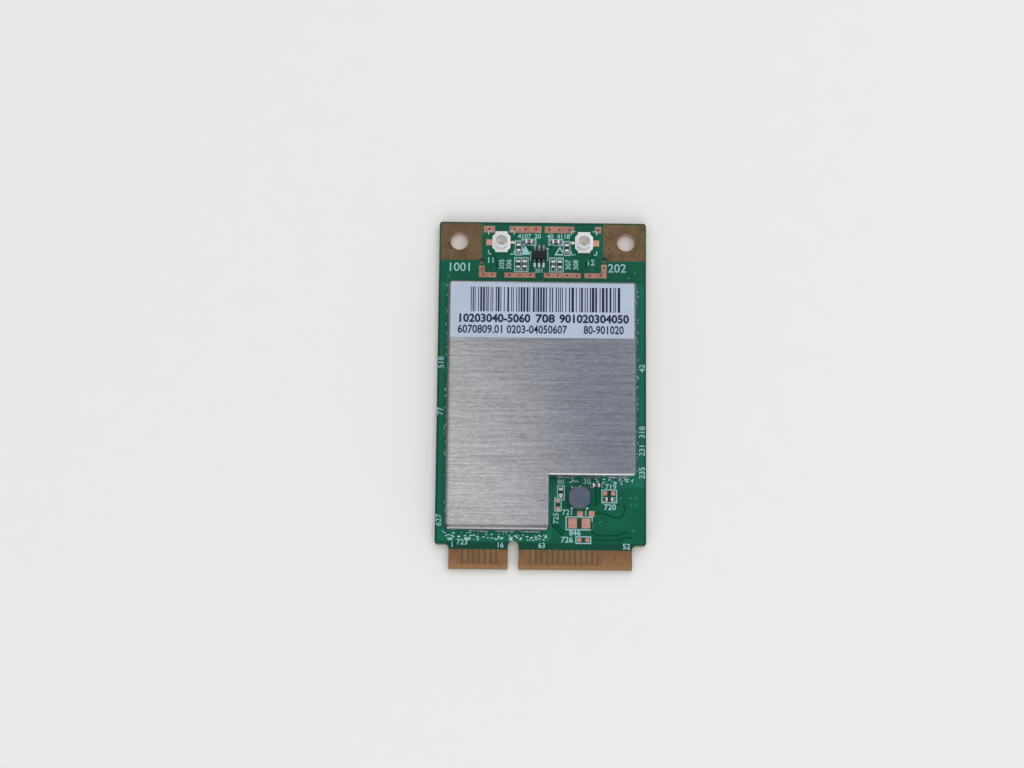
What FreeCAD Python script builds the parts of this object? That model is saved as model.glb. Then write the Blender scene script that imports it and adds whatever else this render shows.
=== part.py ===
# Wireless network card for a laptop. A thin circuit board carries a clip-on metal shield
# over its radio parts, two small coaxial antenna sockets, a row of edge contacts on a keyed
# tongue, and two plated corner holes for its fixing screws.
#
# Frame: millimetres, the board lies flat with its component side up (+Z). The origin is the
# centre of the board's underside. +Y points to the antenna sockets, -Y to the edge contacts.
import FreeCAD, Part
import os
import re
import Sketcher

V = FreeCAD.Vector
doc = FreeCAD.newDocument("WirelessCard")

# Driving dimensions
# "_in" is measured from the edge that carries the antenna sockets, "_up" from the end of the
# contact tongue, and "_x" from the centreline, positive to the right.
SIZES = {
    # circuit board
    "board_width": 30.0,
    "board_length": 50.95,
    "board_thickness": 1.0,
    "board_corner": 0.4,
    "mask_thickness": 0.04,
    # contact tongue
    "tongue_shoulder": 2.0,
    "tongue_length": 3.5,
    "tongue_corner": 0.6,
    "tongue_bevel_height": 0.2,
    "tongue_bevel_length": 0.6,
    "key_width": 1.5,
    "key_depth": 4.1,
    "key_offset": 3.85,
    # edge contacts
    "contact_pitch": 0.8,
    "contact_width": 0.6,
    "contact_end_gap": 0.65,
    "contact_mask_edge": 2.75,
    "contact_to_key": 2.0,
    "contact_stagger": 0.4,
    "contact_side_gap": 0.8,
    "contact_bare_places": 4,
    # corner holes, their plating and their ground pads
    "hole_radius": 1.3,
    "hole_inset": 2.9,
    "plating_wall": 0.05,
    "corner_pad_length": 5.5,
    "corner_pad_inset": 0.2,
    "guide_hole_radius": 0.42,
    "guide_hole_ring": 0.1,
    "guide_left_shift": 0.2,
    "guide_right_shift": -0.1,
    # shield: a soldered frame and a lid that snaps over it
    "lid_side_margin": 1.45,
    "lid_south_up": 5.3,
    "lid_strip_gap": 1.05,
    "cutout_depth": 7.9,
    "shield_sheet": 0.2,
    "snap_clearance": 0.05,
    "frame_height": 1.9,
    "frame_flange": 0.9,
    "bridge_width": 3.2,
    "lid_skirt": 1.15,
    "lid_bend": 0.35,
    "frame_bend": 0.3,
    "lid_relief": 0.3,
    "finger_slit": 0.25,
    "finger_pitch": 4.4,
    "finger_start": 2.2,
    "snap_pitch": 13.2,
    "snap_radius": 0.3,
    "snap_depth": 0.08,
    "snap_drop": 0.85,
    "foot_gap": 0.9,
    "foot_gap_height": 0.25,
    # solder along the foot of the frame
    "seam_width": 0.5,
    "seam_height": 0.45,
    "seam_length": 3.0,
    "seam_gap": 0.7,
    "seam_margin": 0.9,
    # label on the lid
    "label_length": 8.1,
    "label_thickness": 0.08,
    # exposed copper strips
    "top_strip_in": 0.55,
    "top_strip_width": 1.0,
    "lower_strip_gap": 0.35,
    "lower_strip_width": 0.75,
    "arm_guide_gap": 0.65,
    "arm_width": 0.8,
    # antenna sockets
    "socket_in": 3.05,
    "socket_base": 2.6,
    "socket_base_height": 0.35,
    "socket_base_corner": 0.45,
    "socket_ring_radius": 1.0,
    "socket_ring_wall": 0.17,
    "socket_height": 1.25,
    "socket_groove_depth": 0.08,
    "socket_groove_height": 0.3,
    "socket_plate": 0.12,
    "socket_tab_width": 1.8,
    "socket_tab_overhang": 0.25,
    "socket_pin_radius": 0.25,
    "socket_pin_height": 1.05,
    "socket_tail_width": 0.4,
    "socket_tail_overhang": 0.45,
    "socket_bezel": 0.12,
    # six-lead switch chip
    "switch_in": 5.05,
    "switch_length": 2.0,
    "switch_width": 1.25,
    "switch_height": 0.95,
    "switch_pitch": 0.65,
    "switch_lead_width": 0.22,
    "switch_lead_reach": 0.425,
    # memory chip under the shield
    "memory_length": 3.0,
    "memory_width": 4.4,
    "memory_height": 1.1,
    "memory_lead_width": 0.25,
    "memory_lead_reach": 1.0,
    # leads and moulded bodies
    "lead_sheet": 0.12,
    "lead_foot": 0.35,
    "mould_standoff": 0.1,
    "mould_draft": 8.0,
    # power inductor
    "inductor_size": 3.0,
    "inductor_corner": 0.75,
    "inductor_height": 1.2,
    "inductor_flange": 0.32,
    "inductor_post_radius": 0.8,
    "inductor_coil_radius": 1.32,
    "inductor_terminal_width": 0.9,
    "inductor_terminal_sheet": 0.1,
    # small chip resistors and capacitors
    "chip_length": 1.0,
    "chip_width": 0.5,
    "resistor_height": 0.35,
    "capacitor_height": 0.5,
    "chip_end": 0.24,
    "chip_coat": 0.025,
    "chip_pad_length": 0.55,
    "chip_pad_width": 0.6,
    "chip_pad_spacing": 1.15,
    "pad_gap": 0.1,
    "chip_row_gap": 0.3,
    "feed_in": 3.85,
    "feed_to_bias": 0.8,
    "couple_in": 2.95,
    "snubber_drop": 1.1,
    # pads that carry no part
    "test_pad": 0.8,
    "bulk_pad_length": 1.45,
    "bulk_pad_width": 1.2,
    "test_pad_gap": 0.3,
    "bulk_pad_gap": 0.275,
    "spare_south_rise": 0.7,
    "socket_pad_length": 0.9,
    "socket_pad_reach": 1.75,
    # parts under the shield
    "radio_size": 9.0,
    "radio_height": 0.85,
    "radio_contact_pitch": 0.65,
    "radio_contact_width": 0.3,
    "radio_contact_length": 0.5,
    "chip_chamfer": 0.06,
    "amplifier_size": 3.0,
    "amplifier_height": 0.75,
    "filter_length": 2.0,
    "filter_width": 1.25,
    "filter_height": 0.9,
    "crystal_length": 3.2,
    "crystal_width": 2.5,
    "crystal_case_height": 0.55,
    "crystal_cover_height": 0.15,
    "crystal_cover_rim": 0.2,
    "regulator_size": 3.0,
    "regulator_height": 0.8,
}

# Places that follow from the driving dimensions. A column is a sixtieth of the board's width,
# and a row is a sixtieth of the room under the lid from south to north.
PLACES = {
    "tongue_end": "(-board_length / 2)",
    "antenna_edge": "(board_length / 2)",
    "left_edge": "(-board_width / 2)",
    "right_edge": "(board_width / 2)",
    "column": "(board_width / 60)",
    "shoulder": "(tongue_end + tongue_length)",
    "tongue_half": "(right_edge - tongue_shoulder)",
    "key_x": "(-key_offset)",
    "hole_x": "(right_edge - hole_inset)",
    "hole_y": "(antenna_edge - hole_inset)",
    "corner_pad_width": "(12 * column)",
    "corner_pad_foot": "(antenna_edge - corner_pad_inset - corner_pad_length)",
    # the row of small parts behind the antenna sockets
    "socket_x": "(12 * column)",
    "socket_y": "(antenna_edge - socket_in)",
    "socket_tab_reach": "(socket_base / 2 + socket_tab_overhang)",
    "socket_tail_reach": "(socket_base / 2 + socket_tail_overhang)",
    "chip_overall": "(chip_length - 2 * chip_coat)",
    "chip_pad_span": "(chip_pad_spacing + chip_pad_length)",
    "feed_y": "(antenna_edge - feed_in)",
    "couple_y": "(antenna_edge - couple_in)",
    "bias_y": "(feed_y - chip_pad_span - feed_to_bias)",
    "top_strip_y": "(antenna_edge - top_strip_in)",
    "lower_strip_y": "(bias_y - chip_pad_span / 2 - lower_strip_gap)",
    # the shield
    "lid_left": "(left_edge + lid_side_margin)",
    "lid_right": "(right_edge - lid_side_margin)",
    "lid_south": "(tongue_end + lid_south_up)",
    "lid_north": "(lower_strip_y - lower_strip_width - lid_strip_gap)",
    "cutout_x": "(lid_right - 24.7 * column)",
    "cutout_y": "(lid_south + cutout_depth)",
    "frame_inset": "(shield_sheet + snap_clearance)",
    "frame_top": "(board_thickness + frame_height)",
    "lid_top": "(frame_top + shield_sheet)",
    "snap_z": "(lid_top - snap_drop)",
    "row": "((lid_north - lid_south) / 60)",
    "radio_x": "(-5 * column)",
    "radio_y": "(lid_south + 32 * row)",
    # the power parts in the shield's open corner, each a gap away from the one before
    "snubber_y": "(cutout_y - snubber_drop)",
    "inductor_x": "(11 * column)",
    "inductor_y": "(snubber_y - chip_pad_width / 2 - pad_gap - inductor_size / 2)",
    "sense_y": "(inductor_y + chip_pad_span / 2)",
    "test_pad_y": "(inductor_y - inductor_size / 2 - test_pad_gap - test_pad / 2)",
    "bulk_pad_y": "(test_pad_y - test_pad / 2 - bulk_pad_gap - bulk_pad_length / 2)",
}

ALIAS = re.compile(r"[a-z][a-z0-9_]*")

sizes = doc.addObject("Spreadsheet::Sheet", "Sizes")


def fill_sheet(rows):
    """Write each driving dimension as a number beside its name, and alias the cell."""
    for number, (name, value) in enumerate(rows.items(), start=1):
        sizes.set(f"A{number}", name)
        sizes.set(f"B{number}", str(value))
        sizes.setAlias(f"B{number}", name)
    doc.recompute()


fill_sheet(SIZES)


def formula(text):
    """Turn names of sizes and places into cell references."""
    def swap(found):
        word = found.group(0)
        if word in PLACES:
            return formula(PLACES[word])
        return f"Sizes.{word}" if word in SIZES else word
    return ALIAS.sub(swap, str(text))


def value(text):
    """Work out a formula to a number."""
    result = sizes.evalExpression(formula(text))
    return float(getattr(result, "Value", result))


def bind(thing, **formulas):
    """Bind properties to formulas; a double underscore stands for a dot."""
    for name, text in formulas.items():
        thing.setExpression(name.replace("__", "."), formula(text))


def place(thing, x="0", y="0", z="0"):
    """Bind where a sub-part's own origin lies on the card."""
    bind(thing, Placement__Base__x=x, Placement__Base__y=y, Placement__Base__z=z)


# Sketches and features

def new_body(name):
    body = doc.addObject("PartDesign::Body", name)
    body.Label = name
    return body


def new_sketch(body, name, plane="XY_Plane", offset="0"):
    """A sketch on one of the body's own planes, lifted along that plane's normal."""
    sketch = body.newObject("Sketcher::SketchObject", name)
    support = [feature for feature in body.Origin.OriginFeatures if feature.Role == plane][0]
    sketch.AttachmentSupport = [(support, "")]
    sketch.MapMode = "FlatFace"
    bind(sketch, AttachmentOffset__Base__z=offset)
    return sketch


def pin_point(sketch, geometry, end, x, y):
    """Fix one end of a line, or the centre of a circle, by its distances from the origin."""
    for kind, text in (("DistanceX", x), ("DistanceY", y)):
        if text is not None:
            index = sketch.addConstraint(
                Sketcher.Constraint(kind, -1, 1, geometry, end, value(text)))
            sketch.setExpression(f"Constraints[{index}]", formula(text))


def draw_loop(sketch, corners):
    """A closed outline of straight lines through corners given as pairs of formulas."""
    first = sketch.GeometryCount
    points = [V(value(x), value(y), 0) for x, y in corners]
    count = len(points)
    for number, point in enumerate(points):
        sketch.addGeometry(Part.LineSegment(point, points[(number + 1) % count]), False)
    for number in range(count):
        following = first + (number + 1) % count
        sketch.addConstraint(Sketcher.Constraint("Coincident", first + number, 2, following, 1))
    for number, (x, y) in enumerate(corners):
        pin_point(sketch, first + number, 1, x, y)


def draw_rectangle(sketch, left, right, bottom, top):
    draw_loop(sketch, [(left, bottom), (right, bottom), (right, top), (left, top)])


def draw_centred(sketch, x, y, length, width):
    """A rectangle about a centre."""
    draw_rectangle(sketch, f"{x} - ({length}) / 2", f"{x} + ({length}) / 2",
                   f"{y} - ({width}) / 2", f"{y} + ({width}) / 2")


def draw_circle(sketch, x, y, radius):
    centre = V(value(x), value(y), 0)
    number = sketch.addGeometry(Part.Circle(centre, V(0, 0, 1), value(radius)), False)
    pin_point(sketch, number, 3, x, y)
    index = sketch.addConstraint(Sketcher.Constraint("Radius", number, value(radius)))
    sketch.setExpression(f"Constraints[{index}]", formula(radius))


def pad(body, sketch, length, reverse=False, middle=False, draft=None):
    feature = body.newObject("PartDesign::Pad", sketch.Name + "_pad")
    feature.Profile = sketch
    feature.Reversed = reverse
    feature.Midplane = middle
    bind(feature, Length=length)
    if draft:
        bind(feature, TaperAngle=draft)
    body.Tip = feature
    return feature


def pocket(body, sketch, depth=None, reverse=False, middle=False):
    """Cut a sketch into the body, through all of it when no depth is given."""
    before = body.Tip
    feature = body.newObject("PartDesign::Pocket", sketch.Name + "_cut")
    feature.Profile = sketch
    feature.Reversed = reverse
    if depth is None:
        feature.Type = "ThroughAll"
        feature.Midplane = middle
    else:
        bind(feature, Length=depth)
    body.Tip = feature
    doc.recompute()
    if not feature.Shape.Volume < before.Shape.Volume:
        raise ValueError(f"{feature.Name} cuts nothing")
    return feature


def revolve(body, sketch):
    feature = body.newObject("PartDesign::Revolution", sketch.Name + "_turn")
    feature.Profile = sketch
    feature.ReferenceAxis = (sketch, ["V_Axis"])
    feature.Angle = 360
    body.Tip = feature
    return feature


def repeat(body, feature, sketch, axis, pitch, count):
    """Copy a feature along one of its sketch's axes."""
    if value(count) < 2:
        return feature
    pattern = body.newObject("PartDesign::LinearPattern", feature.Name + "_row")
    pattern.Originals = [feature]
    pattern.Direction = (sketch, [axis])
    bind(pattern, Length=f"({pitch}) * ({count} - 1)", Occurrences=count)
    body.Tip = pattern
    return pattern


def round_edges(body, name, radius, wanted, chamfer=False):
    """Fillet or chamfer the edges of the body's last feature that a test picks out."""
    doc.recompute()
    base = body.Tip
    names = [f"Edge{number}" for number, edge in enumerate(base.Shape.Edges, start=1)
             if wanted(edge)]
    kind = "Chamfer" if chamfer else "Fillet"
    feature = body.newObject(f"PartDesign::{kind}", name)
    feature.Base = (base, names)
    bind(feature, **{"Size" if chamfer else "Radius": radius})
    body.Tip = feature
    return feature


def near(one, other):
    return abs(one - other) < 1e-4


def level_edge(height):
    """Picks edges that lie at one height."""
    level = value(height)
    return lambda edge: all(near(vertex.Z, level) for vertex in edge.Vertexes)


def upright_edge(corners):
    """Picks vertical edges that stand at given corners."""
    spots = [(value(x), value(y)) for x, y in corners]

    def wanted(edge):
        ends = edge.Vertexes
        if len(ends) < 2 or near(ends[0].Z, ends[1].Z):
            return False
        return any(all(near(end.X, x) and near(end.Y, y) for end in ends) for x, y in spots)
    return wanted


def block(name, x, y, z, length, width, height):
    """A box centred on x and y that stands on z."""
    box = doc.addObject("Part::Box", name)
    bind(box, Length=length, Width=width, Height=height)
    place(box, f"{x} - ({length}) / 2", f"{y} - ({width}) / 2", z)
    return box


def cut(name, base, tool):
    result = doc.addObject("Part::Cut", name)
    result.Base = base
    result.Tool = tool
    return result


def group(name, pieces):
    """Separate solids of one kind, kept as one sub-part."""
    result = doc.addObject("Part::Compound", name)
    result.Label = name
    result.Links = pieces
    return result


# Chip resistors and capacitors: name, kind, place, and whether the part lies across the card
CHIPS = [
    ("feed_left", "resistor", "-7 * column", "feed_y", False),
    ("feed_right", "resistor", "7 * column", "feed_y", False),
    ("couple_left", "capacitor", "-4 * column", "couple_y", True),
    ("couple_right", "capacitor", "3.8 * column", "couple_y", True),
    ("bias_left", "resistor", "-7.1 * column", "bias_y", False),
    ("shunt_left", "capacitor", "-5.2 * column", "bias_y", False),
    ("shunt_right", "capacitor", "3.1 * column", "bias_y", False),
    ("bias_right", "resistor", "5 * column", "bias_y", False),
    ("sense", "resistor", "5.7 * column", "sense_y", False),
    ("snubber", "capacitor", "15.8 * column", "snubber_y", True),
    ("strap", "resistor", "19.5 * column", "inductor_y - pad_gap", True),
]

# The same kinds of part, hidden under the shield
INNER_CHIPS = [
    ("inner_one", "capacitor", "-19 * column", "radio_y", False),
    ("inner_two", "capacitor", "-19 * column", "radio_y + 4 * row", False),
    ("inner_three", "capacitor", "8.4 * column", "radio_y", False),
    ("inner_four", "capacitor", "8.4 * column", "radio_y + 4 * row", False),
    ("inner_five", "capacitor", "-9 * column", "radio_y + 12 * row", True),
    ("inner_six", "capacitor", "-2 * column", "radio_y + 12 * row", True),
    ("inner_seven", "capacitor", "-6 * column", "radio_y - 12 * row", True),
    ("inner_eight", "capacitor", "column", "radio_y - 12 * row", True),
]

# Footprints of a chip that carry no part
EMPTY_CHIPS = [
    ("spare_upright", "4.9 * column", "sense_y - chip_pad_span - pad_gap", False),
    ("spare_strap", "19.5 * column",
     "inductor_y - pad_gap + chip_pad_width + chip_row_gap", True),
    ("spare_south", "12.2 * column", "shoulder + spare_south_rise", True),
]

# Single bare pads: name, place, length across the card, and length along it
EMPTY_PADS = [
    ("test_left", "11.2 * column", "test_pad_y", "test_pad", "test_pad"),
    ("test_right", "14.5 * column", "test_pad_y", "test_pad", "test_pad"),
    ("bulk_left", "9.1 * column", "bulk_pad_y", "bulk_pad_width", "bulk_pad_length"),
    ("bulk_right", "12.9 * column", "bulk_pad_y", "bulk_pad_width", "bulk_pad_length"),
    ("socket_left", "-socket_x - socket_pad_reach", "socket_y", "socket_pad_length",
     "socket_pad_length"),
    ("socket_right", "socket_x + socket_pad_reach", "socket_y", "socket_pad_length",
     "socket_pad_length"),
]

# Copper strips without mask: first and last column, and the row they lie in
STRIPS = [
    ("-17.2", "-13.9", "top"),
    ("-9.7", "-0.4", "top"),
    ("0.6", "9.1", "top"),
    ("15.2", "17", "top"),
    ("-11", "-2.1", "lower"),
    ("0.4", "11.1", "lower"),
]

# The two outer strips of the lower row turn a corner: outer and inner column, the way
# inwards, and the guide hole that the arm stops short of
BENT_STRIPS = [("-18.4", "-13.4", "+", "left"), ("18.6", "12.2", "-", "right")]


def pad_block(name, x, y, length, width):
    """A copper pad, flush with the board's top face."""
    return block(name, x, y, "board_thickness - mask_thickness", length, width, "mask_thickness")


def chip_pads(name, x, y, across):
    """The two pads of one chip."""
    pads = []
    for side, sign in (("a", "-"), ("b", "+")):
        shift = f"{sign} chip_pad_spacing / 2"
        if across:
            spot = (f"{x} {shift}", y, "chip_pad_length", "chip_pad_width")
        else:
            spot = (x, f"{y} {shift}", "chip_pad_width", "chip_pad_length")
        pads.append(pad_block(f"{name}_pad_{side}", *spot))
    return pads


def make_bare_pads():
    pads = []
    for name, x, y, across in EMPTY_CHIPS:
        pads += chip_pads(name, x, y, across)
    for name, x, y, length, width in EMPTY_PADS:
        pads.append(pad_block(name + "_pad", x, y, length, width))
    return group("bare_pads", pads)


def make_tinned_pads():
    pads = []
    for name, kind, x, y, across in CHIPS:
        pads += chip_pads(name, x, y, across)
    return group("tinned_pads", pads)


def make_copper_strips():
    """Two rows of bare ground copper between the sockets and the shield."""
    body = new_body("copper_strips")
    sketch = new_sketch(body, "strip_outlines", offset="board_thickness")
    for first, last, row in STRIPS:
        draw_rectangle(sketch, f"{first} * column", f"{last} * column",
                       f"{row}_strip_y - {row}_strip_width", f"{row}_strip_y")
    low, high = "lower_strip_y - lower_strip_width", "lower_strip_y"
    for outer, inner, inward, side in BENT_STRIPS:
        outer, inner = f"{outer} * column", f"{inner} * column"
        step = f"{outer} {inward} arm_width"
        arm = f"corner_pad_foot - guide_{side}_shift - arm_guide_gap"
        draw_loop(sketch, [(outer, low), (inner, low), (inner, high),
                           (step, high), (step, arm), (outer, arm)])
    pad(body, sketch, "mask_thickness", reverse=True)
    return body


def guide_hole(side):
    """Where the small guide hole at one corner pad's foot lies."""
    place_x = {"left": "-17.6 * column", "right": "17.8 * column"}
    return place_x[side], f"corner_pad_foot - guide_{side}_shift"


def make_plating(side, sign):
    """Copper of one corner: a pad on each face, joined by the plated wall of the hole."""
    body = new_body(f"corner_plating_{side}")
    edge = f"{sign} (right_edge - corner_pad_inset)"
    inner = f"{sign} (right_edge - corner_pad_inset - corner_pad_width)"
    left, right = (inner, edge) if sign == "+" else (edge, inner)
    centre = (f"{sign} hole_x", "hole_y")

    core = new_sketch(body, f"{side}_wall")
    draw_circle(core, *centre, "hole_radius + plating_wall")
    pad(body, core, "board_thickness")
    for face, level, reverse in (("top", "board_thickness", True), ("under", "0", False)):
        plate = new_sketch(body, f"{side}_{face}_pad", offset=level)
        draw_rectangle(plate, left, right, "corner_pad_foot", "antenna_edge - corner_pad_inset")
        pad(body, plate, "mask_thickness", reverse=reverse)
    drill = new_sketch(body, f"{side}_hole")
    draw_circle(drill, *centre, "hole_radius")
    pocket(body, drill, reverse=True)
    bite = new_sketch(body, f"{side}_bite")
    draw_circle(bite, *guide_hole(side), "guide_hole_radius + guide_hole_ring")
    pocket(body, bite, reverse=True)
    return body


def contact_row(body, name, first, count, level, reverse):
    """One run of edge contacts."""
    sketch = new_sketch(body, name, offset=level)
    draw_rectangle(sketch, f"{first} - contact_width / 2", f"{first} + contact_width / 2",
                   "tongue_end + contact_end_gap", "tongue_end + contact_mask_edge")
    feature = pad(body, sketch, "mask_thickness", reverse=reverse)
    repeat(body, feature, sketch, "H_Axis", "contact_pitch", count)


def make_contacts(face, stagger, bare_places, level, reverse):
    """The contacts of one face, left and right of the key slot."""
    body = new_body(f"edge_contacts_{face}")
    pitch = value("contact_pitch")
    short_run = value("tongue_half - key_offset - contact_to_key - contact_side_gap")
    long_run = value(f"tongue_half + key_offset - contact_to_key - contact_side_gap - {stagger}")
    short_count = int(short_run // pitch) + 1
    long_count = int(long_run // pitch) + 1 - int(value(bare_places))
    left = f"key_x - contact_to_key + {stagger} - contact_pitch * ({short_count} - 1)"
    right = f"key_x + contact_to_key + {stagger}"
    contact_row(body, f"{face}_short_row", left, str(short_count), level, reverse)
    contact_row(body, f"{face}_long_row", right, str(long_count), level, reverse)
    return body


def make_board(flush_copper):
    """The board's outline, tongue, key, holes and the thin steps that its copper lies in."""
    body = new_body("board_blank")
    outline = new_sketch(body, "board_outline")
    draw_loop(outline, [
        ("left_edge", "shoulder"), ("-tongue_half", "shoulder"),
        ("-tongue_half", "tongue_end"), ("tongue_half", "tongue_end"),
        ("tongue_half", "shoulder"), ("right_edge", "shoulder"),
        ("right_edge", "antenna_edge"), ("left_edge", "antenna_edge")])
    pad(body, outline, "board_thickness")
    round_edges(body, "tongue_corners", "tongue_corner", upright_edge(
        [("-tongue_half", "shoulder"), ("tongue_half", "shoulder")]))
    round_edges(body, "board_corners", "board_corner", upright_edge(
        [(x, y) for x in ("left_edge", "right_edge") for y in ("shoulder", "antenna_edge")]))

    key = new_sketch(body, "key_slot")
    draw_rectangle(key, "key_x - key_width / 2", "key_x + key_width / 2",
                   "tongue_end - 1", "tongue_end + key_depth - key_width / 2")
    pocket(body, key, reverse=True)
    key_end = new_sketch(body, "key_round")
    draw_circle(key_end, "key_x", "tongue_end + key_depth - key_width / 2", "key_width / 2")
    pocket(body, key_end, reverse=True)

    bevel = new_sketch(body, "tongue_bevel", plane="YZ_Plane")
    for level, sign in (("0", "+"), ("board_thickness", "-")):
        draw_loop(bevel, [("tongue_end", level),
                          ("tongue_end + tongue_bevel_length", level),
                          ("tongue_end", f"{level} {sign} tongue_bevel_height")])
    pocket(body, bevel, middle=True)

    for face, level, reverse in (("top", "board_thickness", False), ("under", "0", True)):
        bare = new_sketch(body, f"{face}_bare_tongue", offset=level)
        draw_rectangle(bare, "left_edge", "right_edge",
                       "tongue_end - 1", "tongue_end + contact_mask_edge")
        pocket(body, bare, depth="mask_thickness", reverse=reverse)

    holes = new_sketch(body, "board_holes")
    for sign in ("-", "+"):
        draw_circle(holes, f"{sign} hole_x", "hole_y", "hole_radius + plating_wall")
    for side in ("left", "right"):
        draw_circle(holes, *guide_hole(side), "guide_hole_radius")
    pocket(body, holes, reverse=True)

    copper = doc.addObject("Part::Compound", "flush_copper")
    copper.Links = flush_copper
    board = cut("circuit_board", body, copper)
    board.Label = "circuit_board"
    return board


# Shield

def shield_corners(inset):
    """The shield's L-shaped plan, moved inwards."""
    left, right = f"lid_left + {inset}", f"lid_right - {inset}"
    south, north = f"lid_south + {inset}", f"lid_north - {inset}"
    inner_x, inner_y = f"cutout_x - {inset}", f"cutout_y + {inset}"
    return [(left, south), (inner_x, south), (inner_x, inner_y),
            (right, inner_y), (right, north), (left, north)]


def finger_count(start, end):
    """How many slits fit along a run of the skirt."""
    run = value(f"{end} - ({start}) - 2 * finger_start")
    return max(1, int(run // value("finger_pitch")) + 1)


def snap_runs():
    """Where lid and frame snap together.

    Each row is a wall's name, the plane to sketch on, the lid wall's outer face along that
    plane's normal, the first snap, how many there are, and whether inwards is that normal.
    """
    start = "(finger_start + finger_pitch / 2)"
    skip = int(value(f"cutout_depth + finger_start - {start}") // value("snap_pitch")) + 1
    rows = [("west", "YZ_Plane", "lid_left", f"lid_south + {start}", "lid_north", True),
            ("east", "YZ_Plane", "lid_right",
             f"lid_south + {start} + {skip} * snap_pitch", "lid_north", False),
            ("south", "XZ_Plane", "-lid_south", f"lid_left + {start}", "cutout_x", False),
            ("north", "XZ_Plane", "-lid_north", f"lid_left + {start}", "lid_right", True)]
    runs = []
    for name, plane, wall, first, end, inward in rows:
        room = value(f"{end} - finger_start - ({first})")
        count = max(1, int(room // value("snap_pitch")) + 1)
        runs.append((name, plane, wall, first, str(count), inward))
    return runs


def make_frame():
    """The soldered frame: a wall with a folded flange on top and a bridge across it."""
    body = new_body("shield_frame")
    plan = new_sketch(body, "frame_plan", offset="board_thickness")
    draw_loop(plan, shield_corners("frame_inset"))
    pad(body, plan, "frame_height")
    round_edges(body, "frame_fold", "frame_bend", level_edge("frame_top"))
    hollow = new_sketch(body, "frame_hollow", offset="board_thickness")
    draw_loop(hollow, shield_corners("(frame_inset + shield_sheet)"))
    pocket(body, hollow, depth="frame_height - shield_sheet", reverse=True)

    window = new_sketch(body, "frame_windows", offset="frame_top")
    rim = "(frame_inset + frame_flange)"
    corners = shield_corners(rim)
    bridge = "(lid_south + 36 * row)"
    low, high = f"{bridge} - bridge_width / 2", f"{bridge} + bridge_width / 2"
    draw_loop(window, corners[:4] + [(f"lid_right - {rim}", low), (f"lid_left + {rim}", low)])
    draw_rectangle(window, f"lid_left + {rim}", f"lid_right - {rim}", high, f"lid_north - {rim}")
    pocket(body, window, depth="frame_height")

    for name, plane, wall, first, count, inward in snap_runs():
        holes = new_sketch(body, f"frame_snaps_{name}", plane=plane, offset=wall)
        draw_circle(holes, first, "snap_z", "snap_radius + snap_clearance")
        feature = pocket(body, holes, depth="frame_inset + shield_sheet + snap_clearance",
                         reverse=inward)
        repeat(body, feature, holes, "H_Axis", "snap_pitch", count)
    gap = new_sketch(body, "frame_feet", plane="YZ_Plane")
    draw_centred(gap, "lid_south + finger_start + seam_length / 2",
                 "board_thickness + foot_gap_height / 2", "foot_gap", "foot_gap_height")
    feature = pocket(body, gap, middle=True)
    run = value("lid_north - lid_south - 2 * finger_start")
    count = max(2, int(run // value("seam_length + seam_gap")))
    repeat(body, feature, gap, "H_Axis", "seam_length + seam_gap", str(count))
    return body


def make_lid():
    """The clip-on lid: a flat top, a folded skirt with spring fingers, and open corners."""
    body = new_body("shield_lid")
    plan = new_sketch(body, "lid_plan", offset="lid_top")
    draw_loop(plan, shield_corners("0"))
    pad(body, plan, "lid_skirt", reverse=True)
    round_edges(body, "lid_fold", "lid_bend", level_edge("lid_top"))
    hollow = new_sketch(body, "lid_hollow", offset="lid_top - lid_skirt")
    draw_loop(hollow, shield_corners("shield_sheet"))
    pocket(body, hollow, depth="lid_skirt - shield_sheet", reverse=True)
    round_edges(body, "lid_inner_fold", "lid_bend - shield_sheet",
                level_edge("lid_top - shield_sheet"))

    relief = new_sketch(body, "lid_corner_reliefs", offset="lid_top")
    corners = shield_corners("0")
    for number, (x, y) in enumerate(corners):
        if number == 2:
            continue
        draw_centred(relief, x, y, "lid_relief * 2", "lid_relief * 2")
    pocket(body, relief, depth="lid_skirt")

    slit_height = "(lid_skirt - lid_bend)"
    level = f"lid_top - lid_skirt + {slit_height} / 2"
    for name, plane, start, end in (("side", "YZ_Plane", "lid_south", "lid_north"),
                                    ("end", "XZ_Plane", "lid_left", "lid_right")):
        slits = new_sketch(body, f"lid_{name}_slits", plane=plane)
        draw_centred(slits, f"{start} + finger_start", level, "finger_slit", slit_height)
        feature = pocket(body, slits, middle=True)
        repeat(body, feature, slits, "H_Axis", "finger_pitch", str(finger_count(start, end)))

    # shallow dimples on the inside of the skirt, each in its hole of the frame
    for name, plane, wall, first, count, inward in snap_runs():
        sign = "+" if inward else "-"
        dimple = new_sketch(body, f"lid_dimples_{name}", plane=plane,
                            offset=f"{wall} {sign} shield_sheet / 2")
        draw_circle(dimple, first, "snap_z", "snap_radius")
        feature = pad(body, dimple, "shield_sheet / 2 + snap_clearance + snap_depth",
                      reverse=not inward)
        repeat(body, feature, dimple, "H_Axis", "snap_pitch", count)
    return body


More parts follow.
